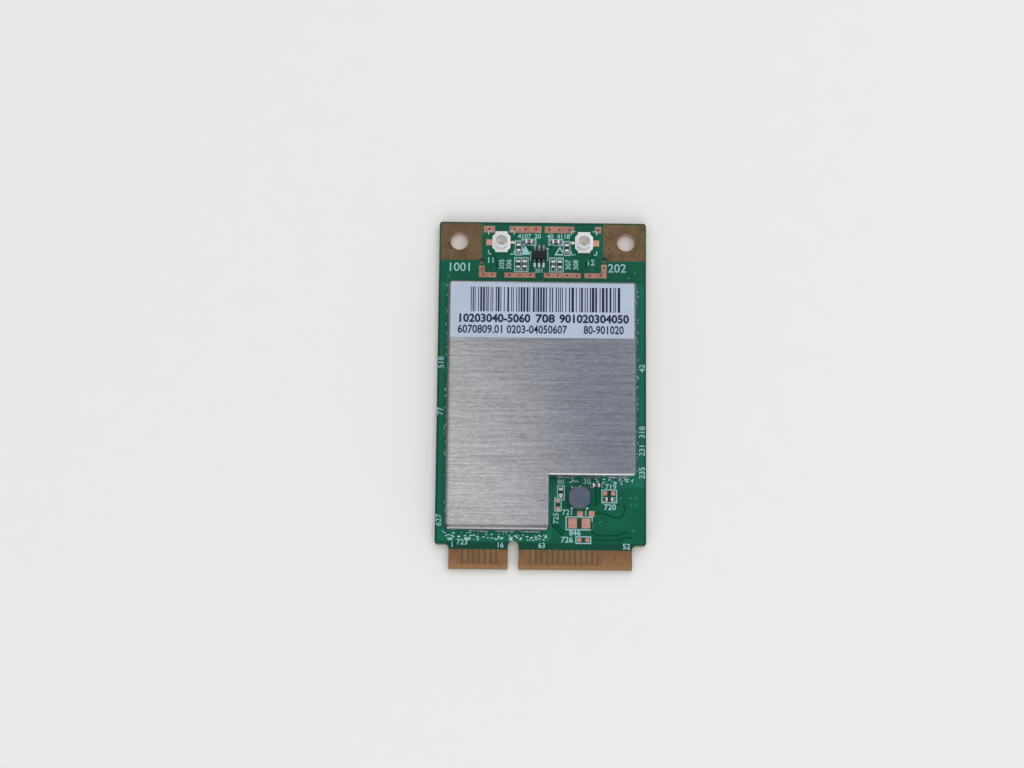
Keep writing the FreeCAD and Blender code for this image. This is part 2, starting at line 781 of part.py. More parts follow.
def make_seam():
    """Solder fillets between the frame's wall and the board, in short runs."""
    left, right = "lid_left + frame_inset", "lid_right - frame_inset"
    south, north = "lid_south + frame_inset", "lid_north - frame_inset"
    inner_x, inner_y = "cutout_x - frame_inset", "cutout_y + frame_inset"
    # name, where the run starts, where it ends, and the way the fillets face
    runs = [("west", (left, south), (left, north), (-1, 0)),
            ("east", (right, north), (right, inner_y), (1, 0)),
            ("north", (left, north), (right, north), (0, 1)),
            ("south", (inner_x, south), (left, south), (0, -1)),
            ("cutout_side", (inner_x, inner_y), (inner_x, south), (1, 0)),
            ("cutout_end", (right, inner_y), (inner_x, inner_y), (0, -1))]
    pieces = []
    margin = value("seam_margin")
    for name, start, end, (out_x, out_y) in runs:
        along = V(out_y, -out_x, 0)
        span = (value(end[0]) - value(start[0])) * along.x
        span += (value(end[1]) - value(start[1])) * along.y
        count = int((span - margin) // value("seam_length + seam_gap"))
        for number in range(count):
            wedge = doc.addObject("Part::Wedge", f"seam_{name}_{number + 1}")
            wedge.Xmin = 0
            wedge.Ymin = 0
            wedge.Zmin = 0
            wedge.X2min = 0
            wedge.Z2min = 0
            bind(wedge, Xmax="seam_width", Ymax="seam_height", X2max="seam_width / 12",
                 Zmax="seam_length", Z2max="seam_length")
            turn = FreeCAD.Rotation(V(out_x, out_y, 0), V(0, 0, 1), along, "XYZ")
            wedge.Placement = FreeCAD.Placement(V(0, 0, 0), turn)
            step = f"(seam_margin + {number} * (seam_length + seam_gap))"
            place(wedge, f"{start[0]} + {step} * {along.x}", f"{start[1]} + {step} * {along.y}",
                  "board_thickness")
            pieces.append(wedge)
    return group("shield_solder", pieces)


def make_label():
    """The paper label on the lid, flush with the flat of its north end."""
    body = new_body("label")
    sketch = new_sketch(body, "label_plan", offset="lid_top")
    draw_rectangle(sketch, "lid_left + lid_bend", "lid_right - lid_bend",
                   "lid_north - lid_bend - label_length", "lid_north - lid_bend")
    pad(body, sketch, "label_thickness")
    return body


# Antenna sockets

def make_socket(side, sign):
    """One coaxial socket: a plastic base, the plated ring, and the centre contact."""
    inward = "-" if sign == "+" else "+"
    base = new_body(f"socket_base_{side}")
    plan = new_sketch(base, f"{side}_base_plan")
    draw_centred(plan, "0", "0", "socket_base", "socket_base")
    pad(base, plan, "socket_base_height")
    half = "socket_base / 2"
    round_edges(base, f"{side}_base_corners", "socket_base_corner", upright_edge(
        [(f"{a} {half}", f"{b} {half}") for a in "+-" for b in "+-"]), chamfer=True)
    channel = new_sketch(base, f"{side}_base_channel")
    reach = (f"{inward} socket_base", "0")
    draw_rectangle(channel, min(reach, key=value), max(reach, key=value),
                   "-socket_tail_width / 2", "socket_tail_width / 2")
    pocket(base, channel, depth="socket_plate", reverse=True)
    bore = new_sketch(base, f"{side}_base_bore")
    draw_circle(bore, "0", "0", "socket_pin_radius")
    pocket(base, bore, reverse=True)

    ring = new_body(f"socket_ring_{side}")
    profile = new_sketch(ring, f"{side}_ring_profile", plane="XZ_Plane")
    inner = "socket_ring_radius - socket_ring_wall"
    groove = "socket_ring_radius - socket_groove_depth"
    foot = "socket_base_height"
    neck = f"{foot} + socket_plate + socket_groove_height"
    draw_loop(profile, [
        (inner, foot), ("socket_ring_radius", foot),
        ("socket_ring_radius", f"{foot} + socket_plate"), (groove, f"{foot} + socket_plate"),
        (groove, neck), ("socket_ring_radius", f"{neck} + socket_groove_depth"),
        ("socket_ring_radius", "socket_height - socket_bezel / 2"),
        ("socket_ring_radius - socket_bezel / 2", "socket_height"), (inner, "socket_height")])
    revolve(ring, profile)
    plate = new_sketch(ring, f"{side}_ring_tabs", offset=foot)
    for y in "+-":
        near_edge, far_edge = f"{y} socket_ring_radius * 0.75", f"{y} socket_tab_reach"
        ends = sorted((near_edge, far_edge), key=value)
        draw_rectangle(plate, "-socket_tab_width / 2", "socket_tab_width / 2", *ends)
    pad(ring, plate, "socket_plate")
    inside = new_sketch(ring, f"{side}_ring_inside", offset=foot)
    draw_circle(inside, "0", "0", inner)
    pocket(ring, inside, depth="socket_plate", reverse=True)
    leg = new_sketch(ring, f"{side}_ring_legs")
    for y in "+-":
        ends = sorted((f"{y} {half}", f"{y} socket_tab_reach"), key=value)
        draw_rectangle(leg, "-socket_tab_width / 2", "socket_tab_width / 2", *ends)
    pad(ring, leg, foot)

    pin = new_body(f"socket_pin_{side}")
    profile = new_sketch(pin, f"{side}_pin_profile", plane="XZ_Plane")
    crown = "socket_pin_height - socket_pin_radius / 2"
    draw_loop(profile, [("0", "0"), ("socket_pin_radius", "0"), ("socket_pin_radius", crown),
                        ("socket_pin_radius / 2", "socket_pin_height"),
                        ("0", "socket_pin_height")])
    revolve(pin, profile)
    tail = new_sketch(pin, f"{side}_pin_tail")
    ends = sorted((f"{inward} socket_tail_reach", "0"), key=value)
    draw_rectangle(tail, *ends, "-socket_tail_width / 2", "socket_tail_width / 2")
    pad(pin, tail, "socket_plate")
    for piece in (base, ring, pin):
        place(piece, f"{sign} socket_x", "socket_y", "board_thickness")
    return [base, ring, pin]


# Moulded chips with bent leads

def moulded_body(name, length, width, height, x, y):
    """A moulded body that narrows above and below its parting line."""
    body = new_body(name)
    line = f"mould_standoff + ({height} - mould_standoff) / 2"
    for part, reverse in (("upper", False), ("lower", True)):
        sketch = new_sketch(body, f"{name}_{part}", offset=line)
        draw_centred(sketch, "0", "0", length, width)
        pad(body, sketch, f"({height} - mould_standoff) / 2", reverse=reverse,
            draft="-mould_draft")
    place(body, x, y, "board_thickness")
    return body


def bent_leads(name, lead_width, reach, body_width, height, pitch, count, x, y):
    """Leads that leave the parting line, step down and stand on their feet."""
    body = new_body(name)
    span = f"({body_width} + 2 * {reach})"
    line = f"(mould_standoff + ({height} - mould_standoff) / 2)"
    profile = new_sketch(body, f"{name}_profile", plane="YZ_Plane",
                         offset=f"-{pitch} * ({count} - 1) / 2")
    over, under = f"{line} + lead_sheet / 2", f"{line} - lead_sheet / 2"
    for sign in "+-":
        root = f"{sign} {body_width} / 2"
        toe = f"{sign} {span} / 2"
        heel = f"{sign} ({span} / 2 - lead_foot)"
        knee = f"{sign} ({span} / 2 - lead_foot + lead_sheet)"
        draw_loop(profile, [(root, under), (heel, under), (heel, "0"), (toe, "0"),
                            (toe, "lead_sheet"), (knee, "lead_sheet"), (knee, over),
                            (root, over)])
    feature = pad(body, profile, lead_width, middle=True)
    repeat(body, feature, profile, "N_Axis", pitch, count)
    place(body, x, y, "board_thickness")
    return body


def make_switch_chip():
    spot = ("-column", "antenna_edge - switch_in")
    shell = moulded_body("switch_chip_body", "switch_length", "switch_width", "switch_height",
                         *spot)
    leads = bent_leads("switch_chip_leads", "switch_lead_width", "switch_lead_reach",
                       "switch_width", "switch_height", "switch_pitch", "3", *spot)
    return [shell, leads]


def make_memory_chip():
    spot = ("-13 * column", "lid_south + 11 * row")
    shell = moulded_body("memory_chip_body", "memory_length", "memory_width", "memory_height",
                         *spot)
    leads = bent_leads("memory_chip_leads", "memory_lead_width", "memory_lead_reach",
                       "memory_width", "memory_height", "switch_pitch", "4", *spot)
    return [shell, leads]


def flat_chip(name, length, width, height, x, y, lift="0"):
    """A leadless chip with broken top edges."""
    body = new_body(name)
    sketch = new_sketch(body, f"{name}_plan")
    draw_centred(sketch, "0", "0", length, width)
    pad(body, sketch, height)
    round_edges(body, f"{name}_edges", "chip_chamfer", level_edge(height), chamfer=True)
    place(body, x, y, f"board_thickness + {lift}")
    return body


def make_radio_chip():
    """The radio chip on its ring of contacts."""
    spot = ("radio_x", "radio_y")
    chip = flat_chip("radio_chip", "radio_size", "radio_size", "radio_height", *spot,
                     lift="mask_thickness")
    contacts = new_body("radio_chip_contacts")
    run = value("radio_size - 2 * radio_contact_length - radio_contact_width - 2 * pad_gap")
    count = int(run // value("radio_contact_pitch")) + 1
    start = f"-radio_contact_pitch * ({count} - 1) / 2"
    edge = "radio_size / 2 - radio_contact_length / 2"
    for name, x, y, length, width, axis in (
            ("north", start, edge, "radio_contact_width", "radio_contact_length", "H_Axis"),
            ("south", start, f"-({edge})", "radio_contact_width", "radio_contact_length",
             "H_Axis"),
            ("east", edge, start, "radio_contact_length", "radio_contact_width", "V_Axis"),
            ("west", f"-({edge})", start, "radio_contact_length", "radio_contact_width",
             "V_Axis")):
        sketch = new_sketch(contacts, f"radio_{name}")
        draw_centred(sketch, x, y, length, width)
        feature = pad(contacts, sketch, "mask_thickness")
        repeat(contacts, feature, sketch, axis, "radio_contact_pitch", str(count))
    place(contacts, *spot, "board_thickness")
    return [chip, contacts]


def make_crystal():
    """A clock crystal: a ceramic case with a metal cover on top."""
    spot = ("15 * column", "lid_south + 25 * row")
    case = flat_chip("crystal_case", "crystal_length", "crystal_width", "crystal_case_height",
                     *spot)
    cover = new_body("crystal_cover")
    sketch = new_sketch(cover, "crystal_cover_plan")
    draw_centred(sketch, "0", "0", "crystal_length - 2 * crystal_cover_rim",
                 "crystal_width - 2 * crystal_cover_rim")
    pad(cover, sketch, "crystal_cover_height")
    round_edges(cover, "crystal_cover_edges", "crystal_cover_height / 2",
                level_edge("crystal_cover_height"))
    place(cover, *spot, "board_thickness + crystal_case_height")
    return [case, cover]


def make_inner_modules():
    """Amplifiers, filters and the voltage regulator under the shield."""
    last_row = "lid_south + 53 * row"
    modules = []
    for side, sign in (("left", "-"), ("right", "+")):
        modules.append(flat_chip(f"amplifier_{side}", "amplifier_size", "amplifier_size",
                                 "amplifier_height", f"{sign} 14.4 * column", last_row))
        modules.append(flat_chip(f"filter_{side}", "filter_length", "filter_width",
                                 "filter_height", f"{sign} 5.2 * column", last_row))
    modules.append(flat_chip("regulator", "regulator_size", "regulator_size",
                             "regulator_height", "-3.2 * column", "lid_south + 7 * row"))
    return modules


# Power inductor

def octagon(sketch, size, corner):
    """A square plan with its corners cut off."""
    half, flat = f"{size} / 2", f"({size} / 2 - {corner})"
    draw_loop(sketch, [(f"-{flat}", f"-{half}"), (flat, f"-{half}"), (half, f"-{flat}"),
                       (half, flat), (flat, half), (f"-{flat}", half), (f"-{half}", flat),
                       (f"-{half}", f"-{flat}")])


def make_inductor():
    """A ferrite drum with its winding, standing on two plated terminals."""
    spot = ("inductor_x", "inductor_y", "board_thickness")
    core = new_body("inductor_core")
    foot = new_sketch(core, "inductor_foot", offset="inductor_terminal_sheet")
    octagon(foot, "inductor_size", "inductor_corner")
    pad(core, foot, "inductor_flange")
    post = new_sketch(core, "inductor_post", offset="inductor_terminal_sheet")
    draw_circle(post, "0", "0", "inductor_post_radius")
    pad(core, post, "inductor_height - inductor_terminal_sheet")
    crown = new_sketch(core, "inductor_crown", offset="inductor_height")
    octagon(crown, "inductor_size", "inductor_corner")
    pad(core, crown, "inductor_flange", reverse=True)
    round_edges(core, "inductor_crown_edge", "inductor_flange / 5",
                level_edge("inductor_height"))

    winding = new_body("inductor_winding")
    profile = new_sketch(winding, "inductor_turns", plane="XZ_Plane")
    low = "inductor_terminal_sheet + inductor_flange"
    high = "inductor_height - inductor_flange"
    draw_rectangle(profile, "inductor_post_radius", "inductor_coil_radius", low, high)
    revolve(winding, profile)

    ends = new_body("inductor_terminals")
    plan = new_sketch(ends, "inductor_terminal_plan")
    for sign in "+-":
        edges = sorted((f"{sign} inductor_size / 2",
                        f"{sign} (inductor_size / 2 - inductor_terminal_width)"), key=value)
        draw_rectangle(plan, "-(inductor_size / 2 - inductor_corner)",
                       "inductor_size / 2 - inductor_corner", *edges)
    pad(ends, plan, "inductor_terminal_sheet")
    for piece in (core, winding, ends):
        place(piece, *spot)
    return [core, winding, ends]


# Chip resistors and capacitors

def make_chips(chips, kind, bodies_name, ends_name):
    """The ceramic blocks of one kind of chip, and the metal caps that wrap their ends."""
    bodies, ends = [], []
    for name, chip_kind, x, y, across in chips:
        if chip_kind != kind:
            continue
        height = f"{kind}_height"
        inner = ("chip_overall", "chip_width - 2 * chip_coat")
        outer = ("chip_end", "chip_width")
        shift = "(chip_length - chip_end) / 2"
        if not across:
            inner, outer = inner[::-1], outer[::-1]
        bodies.append(block(f"{name}_block", x, y, "board_thickness + chip_coat", *inner,
                            f"{height} - 2 * chip_coat"))
        for side, sign in (("a", "-"), ("b", "+")):
            spot = (f"{x} {sign} {shift}", y) if across else (x, f"{y} {sign} {shift}")
            cap = block(f"{name}_cap_{side}", *spot, "board_thickness", *outer, height)
            core = block(f"{name}_core_{side}", x, y, "board_thickness + chip_coat", *inner,
                         f"{height} - 2 * chip_coat")
            ends.append(cut(f"{name}_end_{side}", cap, core))
    return [group(bodies_name, bodies), group(ends_name, ends)]


# Assembly of the sub-parts

bare_pads = make_bare_pads()
tinned_pads = make_tinned_pads()
copper_strips = make_copper_strips()
plating_left = make_plating("left", "-")
plating_right = make_plating("right", "+")
flush = [bare_pads, tinned_pads, copper_strips, plating_left, plating_right]

subparts = [make_board(flush), *flush]
subparts.append(make_contacts("top", "0", "contact_bare_places", "board_thickness", True))
subparts.append(make_contacts("under", "contact_stagger", "0", "0", False))
subparts += [make_frame(), make_lid(), make_seam(), make_label()]
subparts += make_socket("left", "-") + make_socket("right", "+")
subparts += make_switch_chip() + make_memory_chip()
subparts += make_inductor()
subparts += make_chips(CHIPS, "resistor", "resistor_blocks", "resistor_ends")
subparts += make_chips(CHIPS, "capacitor", "capacitor_blocks", "capacitor_ends")
subparts += make_chips(INNER_CHIPS, "capacitor", "inner_capacitor_blocks",
                       "inner_capacitor_ends")
subparts += make_radio_chip() + make_crystal() + make_inner_modules()
doc.recompute()


def check_document():
    """Stop before anything is written if a feature failed or a shape is not sound."""
    for thing in doc.Objects:
        if "Invalid" in thing.State or "Error" in thing.State:
            raise RuntimeError(f"{thing.Name} failed: {thing.State}")
    for part in subparts:
        shape = part.Shape
        if shape.isNull() or not shape.isValid() or not shape.Solids:
            raise RuntimeError(f"{part.Label} has no sound solid")


check_document()
os.makedirs("parts", exist_ok=True)
for part in subparts:
    part.Shape.exportStep(f"parts/{part.Label}.step")
    box = part.Shape.BoundBox
    print(f"{part.Label}: {len(part.Shape.Solids)} solids, "
          f"{box.XLength:.2f} x {box.YLength:.2f} x {box.ZLength:.2f} mm")
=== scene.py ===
# %% [markdown]
# A wireless network card for a laptop, seen from above with its parts side up. The solid
# model gives every piece its true size and place, and this lesson gives the pieces their
# looks: green mask, brushed shield, white print, solder, copper and the paper label. The
# frame is loaded first, because every later cell reads its sizes from it.

# %% Load the frame
import bpy
import math
import random
from mathutils import Matrix, Vector, noise


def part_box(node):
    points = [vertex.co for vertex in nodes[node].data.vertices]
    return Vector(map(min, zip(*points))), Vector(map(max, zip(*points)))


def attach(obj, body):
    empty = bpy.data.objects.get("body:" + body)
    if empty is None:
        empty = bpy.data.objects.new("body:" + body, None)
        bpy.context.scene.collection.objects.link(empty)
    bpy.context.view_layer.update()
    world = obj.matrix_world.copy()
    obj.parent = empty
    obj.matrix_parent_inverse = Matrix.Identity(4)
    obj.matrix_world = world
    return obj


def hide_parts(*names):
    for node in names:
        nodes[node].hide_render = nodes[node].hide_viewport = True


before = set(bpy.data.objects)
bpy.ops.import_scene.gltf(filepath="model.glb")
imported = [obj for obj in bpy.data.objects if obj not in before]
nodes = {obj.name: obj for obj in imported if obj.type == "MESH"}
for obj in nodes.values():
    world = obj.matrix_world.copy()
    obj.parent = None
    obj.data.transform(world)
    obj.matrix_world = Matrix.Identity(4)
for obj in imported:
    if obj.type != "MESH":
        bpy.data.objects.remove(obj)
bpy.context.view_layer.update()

MM = 0.001
board_low, board_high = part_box("circuit_board")
lid_low, lid_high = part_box("shield_lid")
print("board in mm:", [round(v / MM, 2) for v in board_high - board_low])

# %% [markdown]
# Places on the card are easiest to give as they are measured on a real one: across from the
# centreline, and up from the end of the contact tongue, in millimetres. One helper turns
# such a pair into a point of the frame, and another finds the separate solids of a node, so
# that marks and solder are placed by the parts that they belong to.

# %% Places on the card
TONGUE_END = board_low.y
BOARD_TOP = board_high.z
MASK_EDGE_UP = 2.75
MASK_EDGE = TONGUE_END + MASK_EDGE_UP * MM
SHOULDER = TONGUE_END + 3.5 * MM
KEY_SLOT_X = -4.0 * MM


def on_card(across, up, level=BOARD_TOP):
    """A point given in millimetres across and up the card."""
    return Vector((across * MM, TONGUE_END + up * MM, level))


def islands(name):
    """The lowest and highest corner of each separate solid of a node."""
    mesh = nodes[name].data
    keys = [tuple(round(c * 1e7) for c in vertex.co) for vertex in mesh.vertices]
    parent = {key: key for key in keys}

    def root(key):
        while parent[key] != key:
            parent[key] = parent[parent[key]]
            key = parent[key]
        return key
    for face in mesh.polygons:
        corners = [root(keys[v]) for v in face.vertices]
        for corner in corners[1:]:
            parent[root(corner)] = root(corners[0])
    boxes = {}
    for vertex, key in zip(mesh.vertices, keys):
        low, high = boxes.setdefault(root(key), (vertex.co.copy(), vertex.co.copy()))
        for axis in range(3):
            low[axis] = min(low[axis], vertex.co[axis])
            high[axis] = max(high[axis], vertex.co[axis])
    return sorted(boxes.values(), key=lambda pair: (round(pair[0].y, 6), round(pair[0].x, 6)))


def lid_step():
    """Where the lid's front edge steps back: across, and up the card."""
    corners = [vertex.co for vertex in nodes["shield_lid"].data.vertices]
    return (max(corner.x for corner in corners if corner.y < lid_low.y + 1 * MM),
            min(corner.y for corner in corners if corner.x > lid_high.x - 1 * MM))


step_x, step_y = lid_step()
print("copper strips:", len(islands("copper_strips")), "solder pads:", len(islands("tinned_pads")))

# %% [markdown]
# The camera looks down on the card from the tongue's side, a little tilted, from far enough
# away that the sides hardly converge. It aims beside the card, which stands right of the
# picture's middle.

# %% Camera
CAMERA_TILT = math.radians(13.0)
CAMERA_DISTANCE = 0.387
CAMERA_LENS = 95.0
CAMERA_ROLL = math.radians(0.6)
AIM = Vector((-4.25 * MM, 1.1 * MM, 2.0 * MM))

bpy.ops.object.camera_add()
camera = bpy.context.object
camera.name = "camera"
away = Vector((0, -math.sin(CAMERA_TILT), math.cos(CAMERA_TILT)))
turn = Matrix.Rotation(CAMERA_TILT, 4, "X") @ Matrix.Rotation(CAMERA_ROLL, 4, "Z")
camera.matrix_world = Matrix.Translation(AIM + away * CAMERA_DISTANCE) @ turn
camera.data.lens = CAMERA_LENS
camera.data.clip_start = 0.01
bpy.context.scene.camera = camera
print("camera", [round(v, 3) for v in camera.location], "lens", camera.data.lens)

# %% [markdown]
# Shader sums read better as arithmetic than as a list of links. One class stands for an
# output socket and turns + - * and comparisons into Math nodes, and one method of the
# finish makes every other node from its type, settings and sockets.

# %% Shader helpers
ROW_SHIFT = 37.7
LEANING = 0.6


class Socket:
    """An output socket that can be used in sums."""

    def __init__(self, finish, socket):
        self.finish = finish
        self.socket = socket

    def math(self, operation, *others):
        inputs = dict(enumerate((self, *others)))
        return self.finish.node("ShaderNodeMath", inputs, operation=operation)

    def __add__(self, other):
        return self.math("ADD", other)

    def __sub__(self, other):
        return self.math("SUBTRACT", other)

    def __mul__(self, other):
        return self.math("MULTIPLY", other)

    def __gt__(self, other):
        return self.math("GREATER_THAN", other)

    def __lt__(self, other):
        return self.math("LESS_THAN", other)


def tint(red, green, blue):
    """A colour as a picture program gives it, from 0 to 255, turned into light."""
    parts = []
    for part in (red, green, blue):
        part /= 255
        parts.append(part / 12.92 if part <= 0.04045 else ((part + 0.055) / 1.055) ** 2.4)
    return (*parts, 1.0)


class Finish:
    """A material under construction."""

    def __init__(self, name):
        self.material = bpy.data.materials.new(name)
        self.material.use_nodes = True
        self.tree = self.material.node_tree
        self.shader = self.tree.nodes["Principled BSDF"]
        self.place = self.node("ShaderNodeTexCoord", out="Object")

    def feed(self, target, value):
        """Link an output to an input, or give the input a value."""
        if isinstance(value, Socket):
            self.tree.links.new(value.socket, target)
        else:
            target.default_value = value

    def node(self, kind, inputs=None, out=0, **settings):
        """A new node with its inputs and settings, known by the output that is used."""
        made = self.tree.nodes.new(kind)
        for name, setting in settings.items():
            setattr(made, name, setting)
        for key, value in (inputs or {}).items():
            self.feed(made.inputs[key], value)
        return Socket(self, made.outputs[out])

    def axis(self, name, vector=None):
        """One coordinate of a vector, the place on the card unless another is given."""
        return self.node("ShaderNodeSeparateXYZ", {0: vector or self.place}, out=name)

    def facing(self, name):
        """How far the surface faces along one axis, from -1 to 1."""
        return self.axis(name, self.node("ShaderNodeNewGeometry", out="Normal"))

    def upright(self):
        """1 on a surface that stands upright, and 0 on one that lies."""
        return self.facing("Z").math("ABSOLUTE") < LEANING

    def noise(self, size, stretch=(1, 1, 1), detail=2.0, roughness=0.5, place=None):
        """Noise with blotches about as large as size, in metres, drawn out by stretch."""
        scale = tuple(1 / (size * factor) for factor in stretch)
        place = self.node("ShaderNodeMapping", {"Vector": place or self.place, "Scale": scale})
        return self.node("ShaderNodeTexNoise", {"Vector": place, "Scale": 1.0,
                                                "Detail": detail, "Roughness": roughness})

    def scratches(self, along, across, length, size):
        """Straight dashes in rows, each row as wide as size and each dash of its own tone."""
        row = (across * (1 / size)).math("FLOOR")
        inputs = {"W": along * (1 / length) + row * ROW_SHIFT, "Scale": 1.0,
                  "Detail": 5.0, "Roughness": 0.75}
        return self.node("ShaderNodeTexNoise", inputs, noise_dimensions="1D")

    def smooth(self, value, low, high, first=0.0, last=1.0):
        """Eases from first to last while value goes from low to high."""
        return self.node("ShaderNodeMapRange", {0: value, 1: low, 2: high, 3: first, 4: last},
                         interpolation_type="SMOOTHSTEP")

    def mix(self, factor, first, second):
        return self.node("ShaderNodeMix", {0: factor, 6: first, 7: second}, out=2,
                         data_type="RGBA")

    def bump(self, height, depth, edge=0.0):
        """Raises the surface by height, in units of depth, and rounds sharp edges by edge."""
        inputs = {"Height": height, "Distance": depth, "Strength": 1.0}
        if edge:
            inputs["Normal"] = self.node("ShaderNodeBevel", {"Radius": edge}, samples=6)
        return self.node("ShaderNodeBump", inputs)

    def set(self, **sockets):
        """Give sockets of the main shader their values or links; _ stands for a space."""
        for name, value in sockets.items():
            self.feed(self.shader.inputs[name.replace("_", " ")], value)
        return self.material


finishes = {}


def dress(finish, *names):
    """Give a finish to solids of the frame."""
    for name in names:
        mesh = nodes[name].data
        mesh.materials.clear()
        mesh.materials.append(finishes[finish])


# %% [markdown]
# The board is glass-fibre laminate under a glossy green mask. Copper under the mask makes it
# lighter in places, which soft clouds give. In the strips beside the shield a painted light
# makes the mask brighter and greyer, to even out the shade of the shield, and along the cut
# edge, where the copper stops short, it is darker. The tongue and the cut sides have no mask
# and show the tan laminate; the tongue is lightest at its end and has a painted shade between
# the contacts. All of that is one finish that picks its colour by place, with a faint weave
# in its bump.

# %% Green board
LAYER_SCALE, WEAVE_SCALE = 900.0, 1400.0
MASK, MASK_CLOUD, MASK_LIT_BESIDE = tint(0, 89, 64), tint(5, 98, 73), tint(20, 112, 90)
MASK_RIM, MASK_GRAIN = tint(4, 72, 54), tint(40, 120, 96)
TAN, TAN_CLOUD, TAN_INNER = tint(138, 101, 66), tint(154, 115, 77), tint(108, 78, 50)
TAN_SHADED_BETWEEN = tint(98, 74, 50)
SIDE, SIDE_LAYER = tint(96, 104, 70), tint(132, 128, 92)


def contact_rows():
    """The box round the contacts on each side of the key slot."""
    rows = {}
    for low, high in islands("edge_contacts_top"):
        row = rows.setdefault(low.x < KEY_SLOT_X, (low, high))
        row[0].x, row[1].x = min(row[0].x, low.x), max(row[1].x, high.x)
    return rows.values()


def board_finish():
    finish = Finish("board_mask")
    x, y = finish.axis("X"), finish.axis("Y")
    cloud = finish.noise(2.2 * MM, detail=3.0)
    grain = finish.noise(0.12 * MM, detail=1.0)
    poured = finish.mix(finish.smooth(cloud, 0.35, 0.7), MASK, MASK_CLOUD)
    outward = x.math("ABSOLUTE")
    # painted light: the mask in the strips beside the shield is brighter and greyer, to even out
    # the shield's shade
    foot = finish.smooth(x, step_x, step_x + 1.5 * MM, lid_low.y, step_y)
    lit_beside = ((finish.axis("Z") > BOARD_TOP / 2)
              * finish.smooth(y - foot, -1.7 * MM, -1.0 * MM)
              * finish.smooth(y, lid_high.y, lid_high.y + 0.4 * MM, 1.0, 0.0))
    poured = finish.mix(lit_beside, poured, MASK_LIT_BESIDE)
    side_band = finish.smooth(outward, board_high.x - 0.45 * MM, board_high.x - 0.15 * MM)
    end_band = finish.smooth(y, board_high.y - 0.5 * MM, board_high.y - 0.3 * MM)
    south_band = finish.smooth(y, SHOULDER + 0.15 * MM, SHOULDER + 0.35 * MM, 1.0, 0.0)
    rim = side_band.math("MAXIMUM", end_band).math("MAXIMUM", south_band)
    green = finish.mix(grain * 0.1, finish.mix(rim, poured, MASK_RIM), MASK_GRAIN)

    fibre = finish.noise(0.25 * MM, stretch=(1, 6, 1), detail=2.0)
    tan = finish.mix(finish.smooth(fibre, 0.3, 0.7), TAN, TAN_CLOUD)
    tan = finish.mix(finish.smooth(y, TONGUE_END, MASK_EDGE, 0.0, 0.5), tan, TAN_INNER)
    # painted shade: the laminate between the contacts is darker
    for low, high in contact_rows():
        shaded_gap = (x > low.x) * (x < high.x) * (y > low.y) * (y < high.y)
        tan = finish.mix(shaded_gap * 0.7, tan, TAN_SHADED_BETWEEN)
    cut_side = finish.upright()
    layers = finish.node("ShaderNodeTexWave", {"Vector": finish.place, "Scale": LAYER_SCALE},
                         bands_direction="Z", out=1)
    bare = y < MASK_EDGE
    colour = finish.mix(cut_side, finish.mix(bare, green, tan),
                        finish.mix(layers * 0.6, SIDE, SIDE_LAYER))
    rough = finish.smooth(bare.math("MAXIMUM", cut_side), 0.0, 1.0, 0.3, 0.6)
    weave = finish.node("ShaderNodeTexBrick", {"Vector": finish.place, "Scale": WEAVE_SCALE},
                        out=1)
    relief = finish.bump(weave * 0.25 + cloud * 0.8 + grain * 0.4, 0.012 * MM)
    return finish.set(Base_Color=colour, Roughness=rough, Normal=relief,
                      Specular_IOR_Level=0.16)


finishes["board_mask"] = board_finish()
dress("board_mask", "circuit_board")
print("board finish has", len(finishes["board_mask"].node_tree.nodes), "nodes")

# %% [markdown]
# The strips and spare pads are bare copper, salmon and satin. The corner pads and contacts
# carry dull gold that has gone brown, and only the plated wall of the screw holes still
# shines, in a paler tone that fades into a painted shade towards the foot of the hole. Tin,
# silver and solder are paler and smoother. The colour of a metal is the colour of its
# reflection, and small stains keep it from looking painted.

